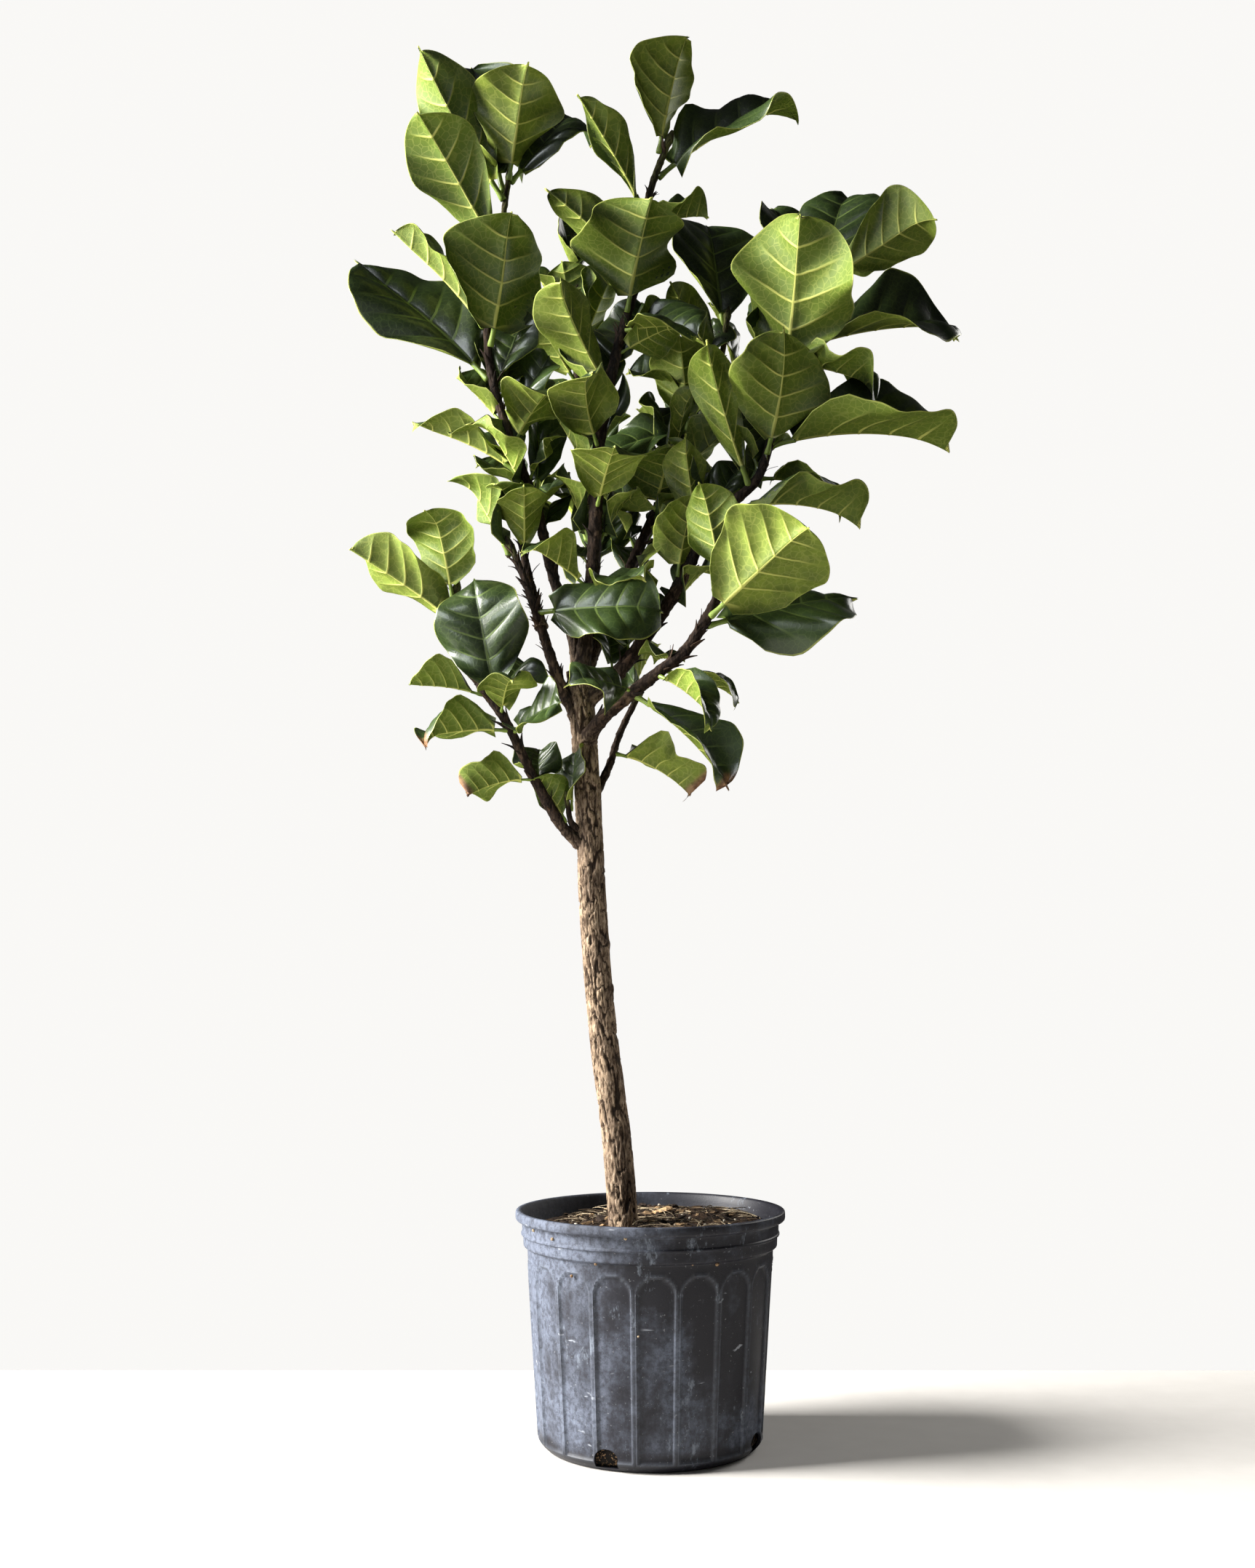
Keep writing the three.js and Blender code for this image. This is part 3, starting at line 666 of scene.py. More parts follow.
def leaf_finish(settings):
    """Waxy green above and matte lime below, with a midrib, side veins and a fine net of veins.

    The map's first number runs from base to tip in vein spaces, its second across from edge to edge.
    """
    r = Recipe("leaf_skin")
    split = r.add("ShaderNodeSeparateXYZ", {0: r.add("ShaderNodeUVMap", {}, uv_map="leaf").outputs[0]})
    along, across = split.outputs[0], r.math("ABSOLUTE", split.outputs[1])
    upper = r.ramp(r.attribute("upper"), 0.35, 0.65)
    tone_and_light_through, dry, stalk = r.attribute("tone_and_light_through"), r.attribute("dry"), r.attribute("stalk")
    place = r.place()

    wander = r.times(r.math("SUBTRACT", r.noise(place, 60.0, 2.0), 0.5), 0.12)
    cell = r.plus(along, wander)
    to_vein = r.math("ABSOLUTE", r.math("SUBTRACT", r.math("FRACT", r.plus(cell, 0.5)), 0.5))
    side = r.times(r.ramp(to_vein, 0.068, 0.024), r.ramp(across, 0.97, 0.1, 0.0, 1.0))
    narrow = r.times(across, r.ramp(along, 0.0, settings.veins, 1.0, 4.0))
    middle = r.ramp(narrow, 0.055, 0.028)
    net = r.cells(place, 150.0, "DISTANCE_TO_EDGE")
    mesh = r.times(r.ramp(net, 0.09, 0.02), 0.16)
    veins = r.math("MAXIMUM", r.math("MAXIMUM", side, middle), mesh)

    mottle = r.noise(place, 45.0, 4.0, 0.6)
    top = r.blend(r.ramp(mottle, 0.35, 0.7), tuple(settings.upper), (0.024, 0.042, 0.010))
    # A random tone per leaf makes some leaves a more vivid green: partly real variation between leaves,
    # partly painted light shining through them.
    top = r.blend(r.times(tone_and_light_through, 0.35), top, (0.055, 0.10, 0.02))
    top = r.blend(r.times(veins, 0.62), top, (0.19, 0.27, 0.07))
    below = r.blend(r.ramp(mottle, 0.3, 0.72), tuple(settings.underside), (0.20, 0.265, 0.03))
    below = r.blend(r.ramp(tone_and_light_through, 0.3, 1.0, 0.0, 0.75), below, (0.10, 0.16, 0.012))
    below = r.blend(r.times(veins, 0.92), below, tuple(settings.vein))
    colour = r.blend(upper, below, top)
    edge = r.times(r.ramp(across, 0.972, 0.992), 0.75)
    colour = r.blend(edge, colour, (0.36, 0.40, 0.085))
    colour = r.blend(stalk, colour, (0.21, 0.30, 0.05))
    crisp = r.noise(place, 130.0, 4.0, 0.7)
    burnt = r.blend(r.ramp(crisp, 0.35, 0.65), (0.10, 0.045, 0.02), (0.30, 0.17, 0.08))
    colour = r.blend(dry, colour, burnt)
    rough = r.plus(r.ramp(upper, 0.0, 1.0, 0.60, 0.33), r.times(mottle, 0.12))
    pores = r.plus(r.times(veins, 0.8), r.times(r.noise(place, 500.0, 3.0), 0.5))
    return r.finish(Base_Color=colour, Roughness=rough, Normal=r.bump(pores, 0.0006, 0.55),
                    Specular_IOR_Level=0.3,
                    Coat_Weight=r.times(upper, 0.3), Coat_Roughness=0.22)


# ---- pot ----


def rounded(corners, radii, steps=4):
    """A line through corners whose turns are eased: each corner is replaced by a short curve that
    starts and ends radius away from it, with points (1-t)^2 a + 2t(1-t) corner + t^2 b."""
    corners = np.array(corners, float)
    before = unit(corners[:-2] - corners[1:-1])
    after = unit(corners[2:] - corners[1:-1])
    reach = np.array(radii, float)[:, None]
    a, b = corners[1:-1] + before * reach, corners[1:-1] + after * reach
    t = np.linspace(0, 1, steps)[:, None, None]
    turns = (1 - t) ** 2 * a + 2 * t * (1 - t) * corners[1:-1] + t ** 2 * b
    return np.vstack([corners[:1], turns.transpose(1, 0, 2).reshape(-1, 2), corners[-1:]])


def with_steps(line, spacing):
    """The same line with points added so that none are further apart than spacing."""
    gaps = np.linalg.norm(np.diff(line, axis=0), axis=1)
    counts = np.maximum(np.ceil(gaps / spacing).astype(int), 1)
    place = np.concatenate([np.arange(n) / n + i for i, n in enumerate(counts)] + [[len(line) - 1]])
    index = np.arange(len(line))
    return np.stack([np.interp(place, index, line[:, k]) for k in range(2)], -1)


def pot_outline(wall):
    """Radius and height pairs: out along the foot, up the wall, over the rolled rim and down inside."""
    outside = [
        (0, 0), (96.5, 0), (104.5, 7), (114.2, 154), (115.5, 180.5), (119.2, 182.5), (119.6, 192),
        (121.6, 192.8), (121.6, 194.4), (120.6, 195.2), (121.0, 205.4), (RIM_RADIUS, 206.2),
        (RIM_RADIUS, POT_HEIGHT),
    ]
    inside = [
        (RIM_RADIUS - 6, POT_HEIGHT), (119, 209), (115.1, 186), (114.2 - wall, 170), (104.5 - wall, 8),
        (96, wall), (0, wall),
    ]
    radii = [2.0, 4.5, 6, 1.2, 1.0, 0.6, 0.5, 0.5, 0.6, 1.6, 2.6, 2.4, 2, 2, 3, 5, 5, 3]
    return rounded(outside + inside, radii)


def panel_edge(turn, height, count):
    """Millimetres from a place on the wall to the edge of the nearest panel, positive inside it.

    A panel is a half circle of the arch's radius above the arch's centre, with straight sides below it
    down to the panel's foot.
    """
    pitch = 2 * math.pi / count
    offset = (turn + math.pi / 2 - math.radians(2) + pitch / 2) % pitch - pitch / 2
    inside = ARCH_RADIUS - np.hypot(np.abs(offset) * WALL_RADIUS, np.maximum(height - ARCH_HEIGHT, 0))
    return np.minimum(inside, height - PANEL_FOOT)


def pot_surface(settings):
    """The outline turned about Z: each point is (r cos a, r sin a, z). On the outside r loses the panel
    depth within a panel and gains a narrow bead round its edge. Also gives what is outside and raised."""
    corners = pot_outline(settings.wall / MM)
    top = np.argmax(corners[:, 1]) + 1
    outside = with_steps(corners[:top], 3.0)
    outline = np.vstack([outside, with_steps(corners[top - 1:], 9.0)[1:]])
    turn = full_turn(settings.panels * PANEL_COLUMNS)[None, :]
    radius, height = outline[1:-1, :1], outline[1:-1, 1:]
    outer = ((np.arange(len(radius)) < len(outside) - 1)[:, None] & (radius > 100)) + 0 * turn
    inside = panel_edge(turn, height, settings.panels)
    bead = np.exp(-((inside + 0.5) / 1.3) ** 2) * outer
    pressed = ease(inside, -0.8, 1.0) * outer * settings.panel_depth / MM
    ripple = 0.12 * lattice_noise(turn * 12 / (2 * math.pi), height / 22, 5, 12) * outer
    radius = radius - pressed + 0.6 * bead + ripple
    return around(radius, turn, height), outer, bead


def doorway(turn):
    """A closed prism through the foot of the wall: a 22 mm wide door under a half circle, carried
    20 mm outwards along the heading turn."""
    arch = np.linspace(0, math.pi, 15)
    door = np.vstack([np.stack([11 * np.cos(arch), 11 + 9 * np.sin(arch)], -1), [(-11, 3.4), (11, 3.4)]])
    depth = np.array([94.0, 114.0])[:, None]
    across, up = door[:, 0][None, :], door[:, 1][None, :]
    c, s = math.cos(turn), math.sin(turn)
    return spread(depth * c - across * s, depth * s + across * c, up)


class FIG_OT_mould_pot(Operator):
    """Mould the tapered pot with its arched panels, banded rim and drain holes"""

    bl_idname = "fig.mould_pot"
    bl_label = "Mould pot"

    def execute(self, context):
        settings = context.scene.fig_pot
        rings, outer, bead = pot_surface(settings)
        quads, triangles = tube_faces(*rings.shape[:2])
        piece = make_piece("pot_shell", tube_points(rings), quads, triangles, pot_finish(settings),
                           ["pot"], "pot_plastic")
        paint_attribute(piece, "outside", np.append(outer.ravel(), [0, 0]))
        paint_attribute(piece, "raised", np.append(bead.ravel(), [0, 0]))
        for hole in range(DRAIN_HOLES):
            cut_drain(piece, math.radians(FIRST_DRAIN + 360 / DRAIN_HOLES * hole))
        shade_by_angle(piece, 32)
        return {"FINISHED"}


def cut_drain(piece, turn):
    """Cuts one drain hole and keeps the cut mesh."""
    rings = doorway(turn)
    quads, triangles = tube_faces(*rings.shape[:2])
    mesh = bpy.data.meshes.new("drain")
    mesh.from_pydata(tube_points(rings) * MM, [], [*quads.tolist(), *triangles.tolist()])
    cutter = bpy.data.objects.new("drain", mesh)
    bpy.context.scene.collection.objects.link(cutter)
    cut = piece.modifiers.new("drain", "BOOLEAN")
    cut.object, cut.operation, cut.solver = cutter, "DIFFERENCE", "EXACT"
    bpy.context.view_layer.update()
    made = bpy.data.meshes.new_from_object(piece.evaluated_get(bpy.context.evaluated_depsgraph_get()))
    piece.modifiers.clear()
    piece.data = made
    bpy.data.objects.remove(cutter)


def shade_by_angle(piece, degrees):
    """Smooth shading, with edges sharper than the angle kept crisp."""
    mesh = piece.data
    mesh.polygons.foreach_set("use_smooth", np.ones(len(mesh.polygons), bool))
    mesh.set_sharp_from_angle(angle=math.radians(degrees))


# ---- soil ----


def soil_height(x, y):
    """Height of the soil in millimetres: a low mound, 201 less 4 (r / 115)^2, tilted up to the back and
    to the right, with clumps of two sizes."""
    r = np.hypot(x, y)
    mound = 201 - 4 * (r / 115) ** 2 + x * 0.022 + y * 0.045
    broad = 3.0 * lattice_noise(x / 21 + 40, y / 21 + 40, 11)
    crumbs = 2.2 * lattice_noise(x / 5.5 + 70, y / 5.5 + 70, 12)
    crumbs += 1.2 * lattice_noise(x / 2.4 + 90, y / 2.4 + 90, 13)
    return mound + (broad + crumbs) * ease(114 - r, 0, 10)


class FIG_OT_fill_soil(Operator):
    """Fill the pot with soil whose top is a rough mound"""

    bl_idname = "fig.fill_soil"
    bl_label = "Fill soil"

    def execute(self, context):
        turn = full_turn(SOIL_COLUMNS)[None, :]
        profile = [(2.0, 3.0), (95.5, 3.0), (101.0, 9.0), (110.2, 169.0), (113.4, 188.0)]
        side = with_steps(np.array(profile), 6)
        root = 0.9 * lattice_noise(turn * 36 / (2 * math.pi), side[:, 1:] / 3, 21, 36)
        wall = around(side[:, :1] + root, turn, side[:, 1:])
        reach = np.linspace(113.0, 1.0, 84)[:, None]
        x, y = reach * np.cos(turn), reach * np.sin(turn)
        rings = np.concatenate([wall, np.stack([x, y, soil_height(x, y)], -1)])
        quads, triangles = tube_faces(*rings.shape[:2])
        make_piece("soil_bed", tube_points(rings), quads, triangles, soil_finish(), ["soil"], "soil_mix")
        return {"FINISHED"}


def spots_on_soil(rng, count, reach=108.0):
    """Random places on the soil, spread evenly by area and clear of the trunk, with their heights."""
    r, a = reach * np.sqrt(rng.random(count * 2)), rng.random(count * 2) * 2 * math.pi
    x, y = r * np.cos(a), r * np.sin(a)
    clear = np.hypot(x + 26, y + 2) > 18
    x, y = x[clear][:count], y[clear][:count]
    return np.stack([x, y, soil_height(x, y)], -1)


def turned(shapes, heading, tilt):
    """Local shapes tipped by tilt about their own Y, then turned by heading about Z."""
    x, y, z = shapes[..., 0], shapes[..., 1], shapes[..., 2]
    extra = (slice(None),) + (None,) * (shapes.ndim - 2)
    c, s, ct, st = np.cos(heading)[extra], np.sin(heading)[extra], np.cos(tilt)[extra], np.sin(tilt)[extra]
    forward, up = x * ct - z * st, x * st + z * ct
    return np.stack([forward * c - y * s, forward * s + y * c, up], -1)


def bark_chips(rng, count):
    """Flat split chips. Each is a tube of four rings of six points whose width swells and narrows."""
    along = np.array([-0.5, -0.3, 0.28, 0.5])[None, :, None]
    angle = full_turn(6)[None, None, :]
    width = np.array([0.55, 1.0, 0.9, 0.4])[None, :, None] * (0.75 + 0.5 * rng.random((count, 4, 6)))
    length = rng.gamma(4.0, 1.9, (count, 1, 1)) + 3
    broad, thick = length * (0.22 + 0.4 * rng.random((count, 1, 1))), 0.8 + 2.0 * rng.random((count, 1, 1))
    x = length * (along + 0.06 * (rng.random((count, 4, 6)) - 0.5)) + 0 * angle
    shapes = np.stack([x, broad * width * np.cos(angle) * 0.6, thick * width * np.sin(angle)], -1)
    return turned(shapes, rng.random(count) * 2 * math.pi, rng.normal(0, 0.28, count))


def straw_fibres(rng, count):
    """Thin bent straws. The centre line is an arc that lifts in the middle, with four sides round it."""
    t = np.linspace(-0.5, 0.5, 9)[None, :]
    length = 14 + 34 * rng.random((count, 1)) ** 1.5
    sweep, lift = rng.normal(0, 0.5, (count, 1)), 0.2 * rng.random((count, 1))
    line = np.stack([length * t, length * sweep * (t ** 2 - 0.08), length * lift * (0.25 - t ** 2) * 2], -1)
    thick = (0.30 + 0.45 * rng.random((count, 1)))[..., None] * (1 - 1.2 * t ** 2)[..., None]
    angle = full_turn(4)[None, None, :]
    ring = np.stack([0 * angle * thick, thick * np.cos(angle), thick * np.sin(angle)], -1)
    return turned(line[:, :, None, :] + ring, rng.random(count) * 2 * math.pi, rng.normal(0, 0.12, count))


def perlite_beads(rng, count):
    """Lumpy round beads: five rings of eight points at sphere heights, each radius varied a little."""
    rise = np.linspace(-0.9, 0.9, 5)[None, :, None]
    angle = full_turn(8)[None, None, :]
    size = (0.9 + 1.1 * rng.random((count, 1, 1))) * (0.85 + 0.3 * rng.random((count, 5, 8)))
    round_off = np.sqrt(1 - rise ** 2)
    shapes = np.stack([size * rise, size * round_off * np.cos(angle), size * round_off * np.sin(angle)], -1)
    return turned(shapes, rng.random(count) * 2 * math.pi, rng.random(count))


def scatter(name, shapes, spots, sink, shade, material):
    """Sets shapes on spots of the soil, sunk a little, as one piece with a shade for each shape."""
    placed = shapes + (spots - np.array([0, 0, 1]) * sink)[:, None, None, :]
    count, rings, sides = placed.shape[:3]
    quads, triangles = tube_faces(rings, sides, count)
    piece = make_piece(name, tube_points(placed), quads, triangles, material, ["soil"], "soil_mix", False)
    paint_attribute(piece, "shade", np.repeat(shade, rings * sides + 2))


# Grains stuck to the outside of the pot: bearing in degrees, distance from the axis and height.
STUCK_GRAINS = [
    (-101, 121.4, 205), (-115, 117.0, 181), (-152, 121.4, 203), (-137, 121.6, 199), (-72, 116.2, 181),
    (-60, 115.8, 180), (-128, 115.5, 168), (-96, 113.5, 120),
]


class FIG_OT_scatter_litter(Operator):
    """Scatter bark chips, straw fibres and perlite beads over the soil"""

    bl_idname = "fig.scatter_litter"
    bl_label = "Scatter soil litter"

    def execute(self, context):
        settings, rng = context.scene.fig_soil, np.random.default_rng(LITTER_SEED)
        chips = litter_finish("bark_chip", (0.020, 0.012, 0.008), (0.55, 0.36, 0.19), 320.0)
        straw = litter_finish("straw", (0.045, 0.027, 0.015), (0.66, 0.54, 0.36), 500.0)
        perlite = litter_finish("perlite", (0.42, 0.34, 0.24), (0.80, 0.74, 0.62), 700.0)
        shapes, spots = bark_chips(rng, settings.chips), spots_on_soil(rng, settings.chips)
        shade = rng.random(settings.chips) ** 5
        widest = np.argmax(np.ptp(shapes[..., 0], axis=(1, 2)))
        spots[widest], shade[widest] = (10, 55, soil_height(10, 55) + 2), 1.0
        scatter("bark_chips", shapes, spots, 0.3, shade, chips)
        scatter("straw_fibres", straw_fibres(rng, settings.fibres), spots_on_soil(rng, settings.fibres, 100),
                -0.9, rng.random(settings.fibres) ** 2.5, straw)
        scatter("perlite_beads", perlite_beads(rng, settings.beads), spots_on_soil(rng, settings.beads), -0.4,
                rng.random(settings.beads), perlite)
        bearing, radius, height = np.array(STUCK_GRAINS).T
        places = around(radius, np.radians(bearing), height)
        scatter("stuck_grains", perlite_beads(rng, len(places)), places, 0.0, rng.random(len(places)),
                litter_finish("stuck_grain", (0.30, 0.17, 0.08), (0.62, 0.50, 0.34), 700.0))
        return {"FINISHED"}


# ---- trunk and limbs ----


def stem_line(points):
    """A smooth curve through every point: between two of them it is the cubic whose slope at each end
    is half the step between that point's neighbours. Returns the line and its length at each place."""
    knots = np.array(points, float)
    knots = np.vstack([2 * knots[0] - knots[1], knots, 2 * knots[-1] - knots[-2]])
    before, start, end, after = knots[:-3], knots[1:-2], knots[2:-1], knots[3:]
    t = np.linspace(0, 1, 40, endpoint=False)[:, None, None]
    spans = 0.5 * (2 * start + (end - before) * t + (2 * before - 5 * start + 4 * end - after) * t ** 2
                   + (3 * start - before - 3 * end + after) * t ** 3)
    line = np.vstack([spans.transpose(1, 0, 2).reshape(-1, 3), knots[-2]])
    gone = np.concatenate([[0], np.cumsum(np.linalg.norm(np.diff(line, axis=0), axis=1))])
    return line, gone


def place_on(stem, share):
    """Points and directions of a stem at shares of its length from 0 to 1."""
    line, gone = stem_line(stem[0])
    share = np.asarray(share, float)
    at = [np.stack([np.interp((share + d) * gone[-1], gone, line[:, k]) for k in range(3)], -1)
          for d in (-0.004, 0.0, 0.004)]
    return at[1], unit(at[2] - at[0])


# Knots of the trunk: height, bearing round it in degrees, size in millimetres.
KNOTS = [(530, -25, 4.5), (464, -20, 5.5), (421, -15, 4.5), (363, -85, 6.0), (300, 150, 5.0), (610, 60, 5.0)]


def bark_noise(angle, along, seed, around):
    """0 on the ridges and 1 in the cracks: narrow valleys of noise that is drawn out along the stem,
    with a finer layer on top. The noise has a whole number of cells round the stem."""
    turn = angle * around / (2 * math.pi)
    weave = 1.2 * lattice_noise(turn, along / 30, seed + 9, around)
    broad = np.abs(lattice_noise(turn, along / 13 + weave, seed, around))
    fine = np.abs(lattice_noise(turn * 2, along / 6 + weave, seed + 1, 2 * around))
    return np.clip(0.8 * ease(0.13 - broad, 0, 0.10) + 0.5 * ease(0.10 - fine, 0, 0.08), 0, 1)


def stem_surface(stem, seed, fissure, spacing, sides, is_trunk):
    """Rings round the centre line: each point is centre + radius (cos a east + sin a north).

    The radius thins evenly from foot to tip and is cut by bark noise. A trunk has round knots; a limb
    swells into a collar at its foot, has a low ridge at every leaf scar, and closes into a bud.
    """
    line, gone = stem_line(stem[0])
    total, bud = gone[-1], 0 if is_trunk else 13
    along = np.arange(0, total + bud, spacing)
    centre = np.stack([np.interp(along, gone, line[:, k]) for k in range(3)], -1)
    centre += np.maximum(along - total, 0)[:, None] * unit(line[-1] - line[-8])
    tangent = unit(np.gradient(centre, axis=0))
    east = unit(np.array([1.0, 0, 0]) - tangent * tangent[:, :1])
    north = np.cross(tangent, east)
    angle = full_turn(sides)[None, :]
    along = along[:, None]
    share, over = np.clip(along / total, 0, 1), np.maximum(along - total, 0)
    radius = stem[1] + (stem[2] - stem[1]) * share
    lumps = 0.06 * lattice_noise(angle * 5 / (2 * math.pi), along / 30, seed + 3, 5)
    cracks = bark_noise(angle, along, seed, 20 if is_trunk else 9)
    if is_trunk:
        youth, closing = 0 * share, 1.0
        for height, bearing, size in KNOTS:
            aside = (angle - math.radians(bearing) + math.pi) % (2 * math.pi) - math.pi
            away = np.hypot(centre[:, 2:] - height, aside * radius) / size
            radius = radius + 0.38 * size * np.exp(-away ** 2) - 0.22 * size * np.exp(-(away * 2.5) ** 2)
    else:
        youth = 0.15 + 0.85 * share
        closing = np.sqrt(np.clip(1 - over / (bud + 0.5), 0.02, 1))
        scars = np.exp(-(((along / 17 + 0.4 * np.sin(seed + along / 40)) % 1 - 0.5) * 9) ** 2)
        collar = 0.45 * np.exp(-along / 14)
        swell = 0.5 * np.sin(math.pi * np.clip((along - total + 4) / (bud + 4), 0, 1))
        radius = radius * (1 + collar + 0.12 * scars) * (1 + swell)
    depth = fissure * (1.0 if is_trunk else 0.6) * (1 - 0.7 * share * (not is_trunk))
    radius = (radius * (1 + lumps) - depth * cracks) * closing
    across = np.cos(angle)[..., None] * east[:, None] + np.sin(angle)[..., None] * north[:, None]
    return centre[:, None] + radius[..., None] * across, 1 - cracks, youth + 0 * cracks


def make_stem(name, stem, seed, settings, material, spacing, sides, is_trunk):
    """One stem as a closed tube, with its relief and its youth stored at each point."""
    rings, relief, youth = stem_surface(stem, seed, settings.fissure / MM, spacing, sides, is_trunk)
    quads, triangles = tube_faces(*rings.shape[:2])
    piece = make_piece(name, tube_points(rings), quads, triangles, material, ["tree"], "bark")
    paint_attribute(piece, "relief", np.append(relief.ravel(), [relief[0].mean(), relief[-1].mean()]))
    paint_attribute(piece, "youth", np.append(youth.ravel(), [youth[0].mean(), youth[-1].mean()]))


class FIG_OT_grow_trunk(Operator):
    """Grow the trunk, with fissured grey-brown bark, out of the soil"""

    bl_idname = "fig.grow_trunk"
    bl_label = "Grow trunk"

    def execute(self, context):
        settings = context.scene.fig_bark
        make_stem("trunk", STEMS["trunk"], 3, settings, bark_finish(settings), *TRUNK_MESH, True)
        return {"FINISHED"}


class FIG_OT_grow_limbs(Operator):
    """Grow the limbs, each with a collar, leaf scars and a bud at its tip"""

    bl_idname = "fig.grow_limbs"
    bl_label = "Grow limbs"

    def execute(self, context):
        settings = context.scene.fig_bark
        limbs = {name: stem for name, stem in STEMS.items() if name != "trunk"}
        bark = bpy.data.materials["fig_bark"]
        for i, (name, stem) in enumerate(limbs.items()):
            make_stem(f"limb_{name}", stem, 20 + 5 * i, settings, bark, *LIMB_MESH, False)
        return {"FINISHED"}


def stipule_shapes(rng, stem, count):
    """Dry pointed scales on a stem. Each is a tube of five flat rings that narrows to a point and
    curls away from the bark; it starts on the bark and leans out as it rises."""
    share = 0.12 + 0.86 * rng.random(count)
    centre, forward = place_on(stem, share)
    east = unit(np.array([1.0, 0, 0]) - forward * forward[:, :1])
    north = np.cross(forward, east)
    angle = (rng.random(count) * 2 * math.pi)[:, None]
    out = np.cos(angle) * east + np.sin(angle) * north
    aside = np.cross(forward, out)
    radius = (stem[1] + (stem[2] - stem[1]) * share)[:, None, None, None]
    t = np.linspace(0, 1, 5)[None, :, None, None]
    length = (6 + 8 * rng.random(count))[:, None, None, None]
    lean = (0.15 + 0.8 * rng.random(count))[:, None, None, None]
    width = length * 0.24 * (1 - 0.85 * t ** 1.5)
    corner = np.array([(1, -1), (1, 1), (-1, 1), (-1, -1)], float)[None, None, :, :]
    up, rise = length * t, radius - 0.6 + length * lean * t ** 1.6
    rise = rise + corner[..., 1:] * 0.28 + (corner[..., :1] * width) ** 2 * -0.06
    return (centre[:, None, None] + up * forward[:, None, None] + rise * out[:, None, None]
            + corner[..., :1] * width * aside[:, None, None])


class FIG_OT_leave_stipules(Operator):
    """Leave dry dark scales on the limbs where old leaf sheaths were"""

    bl_idname = "fig.leave_stipules"
    bl_label = "Leave dry scales"

    def execute(self, context):
        count, rng = context.scene.fig_bark.stipules, np.random.default_rng(SCALE_SEED)
        limbs = [stem for name, stem in STEMS.items() if name not in ("trunk", "left_twig", "right_low")]
        shapes = np.concatenate([stipule_shapes(rng, stem, count) for stem in limbs])
        quads, triangles = tube_faces(5, 4, len(shapes))
        flipped = quads[:, ::-1], triangles[:, ::-1]
        scale = litter_finish("dry_scale", (0.010, 0.006, 0.005), (0.10, 0.058, 0.034), 420.0)
        piece = make_piece("dry_scales", tube_points(shapes), *flipped, scale, ["tree"], "bark")
        paint_attribute(piece, "shade", np.repeat(rng.random(len(shapes)) ** 2, 22))
        return {"FINISHED"}


# ---- leaves ----


def arc(distance, length, start, turn):
    """Where an arc is after a distance, if it leaves at the angle start and turns down by turn over
    its whole length: radius (sin start - sin now) along and radius (cos now - cos start) up."""
    radius = length / (turn if abs(turn) > 1e-6 else 1e-6)
    now = start - distance / radius
    return radius * (np.sin(start) - np.sin(now)), radius * (np.cos(now) - np.cos(start))


def outline(along, fullness):
    """Half width of the blade, from 0 to 1: narrow and round at the base, widest past the middle. The
    widest place moves to the tip as fullness grows."""
    return np.sin(math.pi * (0.06 + 0.935 * along) ** fullness) ** 0.6


def leaf_rows(spaces):
    """Rows from base to tip in vein spaces, with rows close to every side vein so that it is crisp."""
    offsets = np.array([0, 0.055, 0.18, 0.38, 0.62, 0.82, 0.945])
    return np.append((np.arange(spaces)[:, None] + offsets).ravel(), spaces)


def leaf_columns():
    """Places across the blade from one edge to the other, closer at the midrib and at the edges."""
    half = np.concatenate([[0], np.linspace(0.12, 0.93, 10) ** 1.35, [0.965, 0.99, 1.0]])
    return np.concatenate([half[:0:-1], -half])


def leaf_habit(rng, strength=1.0):
    """How one leaf differs from the next: wave height and phases, twist, sideways sweep, tip curl,
    waist, cup, point, turned brim and fullness. All that bends the blade is multiplied by strength."""
    habit = {
        "wave": rng.uniform(0.085, 0.165), "phase": rng.uniform(0, 2 * math.pi, 3),
        "beat": rng.uniform(1.0, 1.9), "twist": rng.normal(0, 0.28), "sweep": rng.normal(0, 0.055),
        "curl": rng.uniform(-0.4, 1.8), "waist": rng.uniform(0.02, 0.13), "cup": rng.normal(0, 0.10),
        "point": rng.uniform(0.02, 0.07), "brim": rng.uniform(-1.1, 0.9), "fullness": rng.uniform(1.15, 1.6),
    }
    for key in ("wave", "twist", "sweep", "curl", "cup", "brim"):
        habit[key] = habit[key] * strength
    return habit


